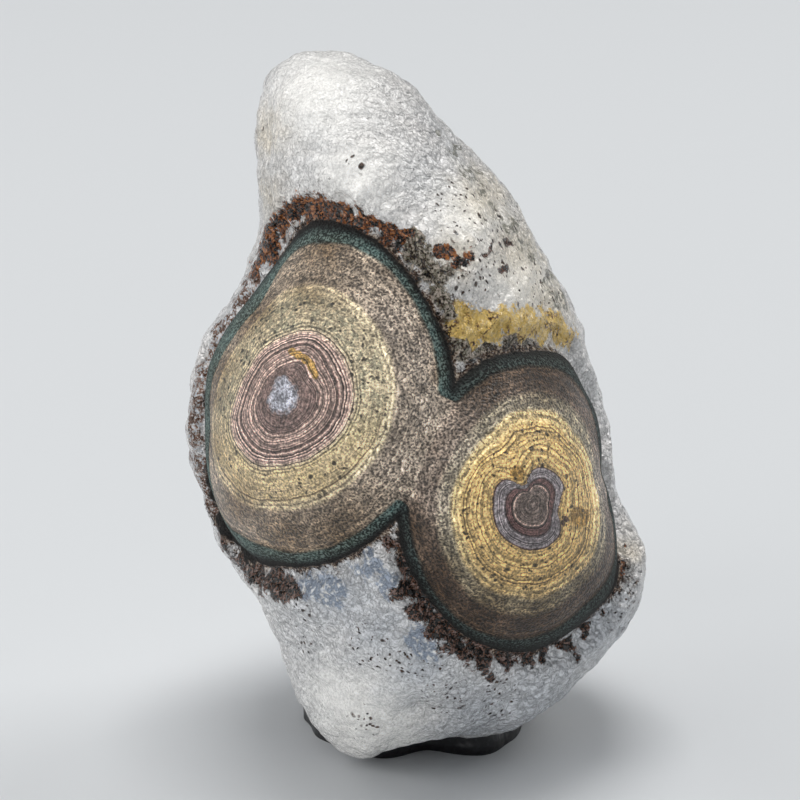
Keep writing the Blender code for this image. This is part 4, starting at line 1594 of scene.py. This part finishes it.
class StoneSettings(PropertyGroup):
    """Sizes and colours of the stone."""

    pebble_size: length("Pebble size", "Width of the crust's pebbles", 0.001)
    pebble_height: length("Pebble height", "Height of the crust's pebbles", 0.00026)
    crust: shade("Crust", "White chalcedony crust", (0.96, 0.935, 0.92))
    crust_shade: shade("Crust shade", "Cooler parts of the crust", (0.88, 0.875, 0.88))
    warm: shade("Warm", "What the crust is tinted with where warmer", (0.95, 0.88, 0.76))
    # Milk is also the colour of the painted light on the bottom lobe
    milk: shade("Milk", "Whitest parts of the crust", (0.98, 0.965, 0.93))
    # Cool is also the colour of the painted shade low on the crust
    cool: shade("Cool", "Bluish grey parts of the crust", (0.66, 0.69, 0.74))
    blue: shade("Blue", "Clear bluish patches of the crust", (0.30, 0.37, 0.49))
    rust: shade("Rust", "Rust of the broken edge", (0.20, 0.07, 0.03))
    ember: shade("Ember", "Bright grains in the rust", (0.45, 0.17, 0.05))
    ochre: shade("Ochre", "Ochre patch over the right eye", (0.95, 0.66, 0.20))
    pupil: shade("Pupil", "Pale pupil of the left eye", (0.48, 0.48, 0.54))
    mauve: shade("Mauve", "Fibrous core of the left eye", (0.24, 0.165, 0.145))
    # Pearl is also the tint of the painted light in the eyes' outer bands
    pearl: shade("Pearl", "Paler parts of the taupe and brown bands", (0.54, 0.45, 0.38))
    # The tint of the painted shade on the eyes
    painted_shade_tint: shade("Deep", "What the bands are tinted with where deeper", (0.42, 0.36, 0.28))
    pale: shade("Pale line", "Pale lines of the eyes", (0.64, 0.46, 0.39))
    line: shade("Dark line", "Dark lines of the eyes", (0.065, 0.026, 0.024))
    cream: shade("Cream", "Cream band of the left eye", (0.92, 0.77, 0.52))
    honey: shade("Honey", "Ochre comma in the left eye, and blotches of gold", (0.50, 0.30, 0.09))
    # Moss is also the colour of the grey veil, which is partly painted shade
    moss: shade("Moss", "Grey-green blotches of the cream band", (0.19, 0.19, 0.14))
    taupe: shade("Taupe", "Taupe band of the left eye", (0.45, 0.36, 0.275))
    khaki: shade("Khaki", "Khaki ring outside the golden band", (0.42, 0.36, 0.25))
    green: shade("Green", "Green rim of the left eye", (0.085, 0.145, 0.135))
    verdigris: shade("Verdigris", "Pale grains in the green rim", (0.25, 0.32, 0.29))
    disc: shade("Disc", "Mauve disc of the right eye", (0.19, 0.145, 0.125))
    maroon: shade("Maroon", "Maroon ring of the right eye", (0.24, 0.13, 0.12))
    slate: shade("Slate", "Grey heart of the right eye", (0.34, 0.30, 0.31))
    gold: shade("Gold", "Golden band of the right eye", (0.96, 0.67, 0.285))
    bright: shade("Bright gold", "Outer line of the golden band", (0.95, 0.72, 0.36))
    brown: shade("Brown", "Brown band of the right eye", (0.15, 0.10, 0.068))
    olive: shade("Olive", "Olive grains of the sooty stains", (0.20, 0.18, 0.12))
    teal: shade("Teal", "Dark rim of both eyes", (0.02, 0.036, 0.036))
    umber: shade("Umber", "Dark brown of lines and broken edges", (0.10, 0.055, 0.035))
    dark: shade("Dark", "Nearly black specks and creases", (0.012, 0.011, 0.01))


class CrumbSettings(PropertyGroup):
    """Size and number of the crumbs."""

    radius: length("Crumb radius", "Radius of a crumb of middle size", 0.00008)
    crowding: FloatProperty(
        name="Crowding", description="Crumbs on a gritty square millimetre", min=0.0, default=12.0
    )
    seed: IntProperty(name="Seed", description="Another number strews them anew", default=7)


class PuttySettings(PropertyGroup):
    """Dents and colours of the putty pad."""

    dents: FloatProperty(
        name="Dents", description="How deeply the pad is dented", min=0.0, max=1.0, default=0.3
    )
    colour: shade("Putty", "Black putty", (0.012, 0.012, 0.014))
    dust: shade("Dust", "Pale dust on the putty", (0.10, 0.10, 0.11))


class StageSettings(PropertyGroup):
    """Floor, light and surroundings."""

    floor_radius: length("Floor radius", "Radius of the pale floor", 3.0)
    floor: shade("Floor", "Pale grey floor", (0.70, 0.72, 0.74))
    light: FloatProperty(
        name="Light", description="Power of the lamps, as a share", min=0.0, default=1.0
    )
    light_colour: shade("Light colour", "Colour of the lamps", (1.0, 0.99, 0.975))
    surroundings: shade("Surroundings", "Pale room all round", (0.88, 0.94, 1.0))
    surround_light: FloatProperty(
        name="Surround light", description="Strength of the pale room", min=0.0, default=0.155
    )


class AGATE_OT_stone(Operator):
    """Build the stone with its eyes and crust"""

    bl_idname = "agate.stone"
    bl_label = "Build the stone"

    def execute(self, context):
        make_stone(context.scene.agate_stone)
        return {"FINISHED"}


def built_stone(context):
    """The stone that crumbs and putty need."""
    stone = context.scene.objects.get("agate_looks")
    if stone is None:
        raise RuntimeError("build the stone first")
    return stone


class AGATE_OT_crumbs(Operator):
    """Strew crumbs along the broken edges of the crust"""

    bl_idname = "agate.crumbs"
    bl_label = "Strew the crumbs"

    def execute(self, context):
        make_crumbs(context.scene.agate_crumbs, built_stone(context))
        return {"FINISHED"}


class AGATE_OT_putty(Operator):
    """Press the putty pad under the stone"""

    bl_idname = "agate.putty"
    bl_label = "Press the putty pad"

    def execute(self, context):
        make_putty(context.scene.agate_putty, built_stone(context))
        return {"FINISHED"}


class AGATE_OT_stage(Operator):
    """Lay the floor and set up the lights and the camera"""

    bl_idname = "agate.stage"
    bl_label = "Set up the stage"

    def execute(self, context):
        make_stage(context.scene.agate_stage)
        return {"FINISHED"}


class AGATE_PT_panel(Panel):
    """Builds the eye agate piece by piece."""

    bl_label = "Eye Agate"
    bl_space_type = "VIEW_3D"
    bl_region_type = "UI"
    bl_category = "Eye Agate"

    def draw(self, context):
        for operator, settings in (
            (AGATE_OT_stone, context.scene.agate_stone),
            (AGATE_OT_crumbs, context.scene.agate_crumbs),
            (AGATE_OT_putty, context.scene.agate_putty),
            (AGATE_OT_stage, context.scene.agate_stage),
        ):
            box = self.layout.box()
            box.operator(operator.bl_idname)
            for name in settings.__annotations__:
                box.prop(settings, name)


CLASSES = (
    StoneSettings, CrumbSettings, PuttySettings, StageSettings, AGATE_OT_stone,
    AGATE_OT_crumbs, AGATE_OT_putty, AGATE_OT_stage, AGATE_PT_panel,
)
SETTINGS = {
    "agate_stone": StoneSettings,
    "agate_crumbs": CrumbSettings,
    "agate_putty": PuttySettings,
    "agate_stage": StageSettings,
}


def register():
    """Add the classes and the settings to Blender."""
    for kind in CLASSES:
        bpy.utils.register_class(kind)
    for name, kind in SETTINGS.items():
        setattr(bpy.types.Scene, name, PointerProperty(type=kind))


def unregister():
    """Take the settings and the classes out again."""
    for name in SETTINGS:
        delattr(bpy.types.Scene, name)
    for kind in reversed(CLASSES):
        bpy.utils.unregister_class(kind)


def main():
    """Build everything in order."""
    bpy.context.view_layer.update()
    register()
    bpy.ops.agate.stone()
    bpy.ops.agate.crumbs()
    bpy.ops.agate.putty()
    bpy.ops.agate.stage()


if __name__ == "__main__":
    main()
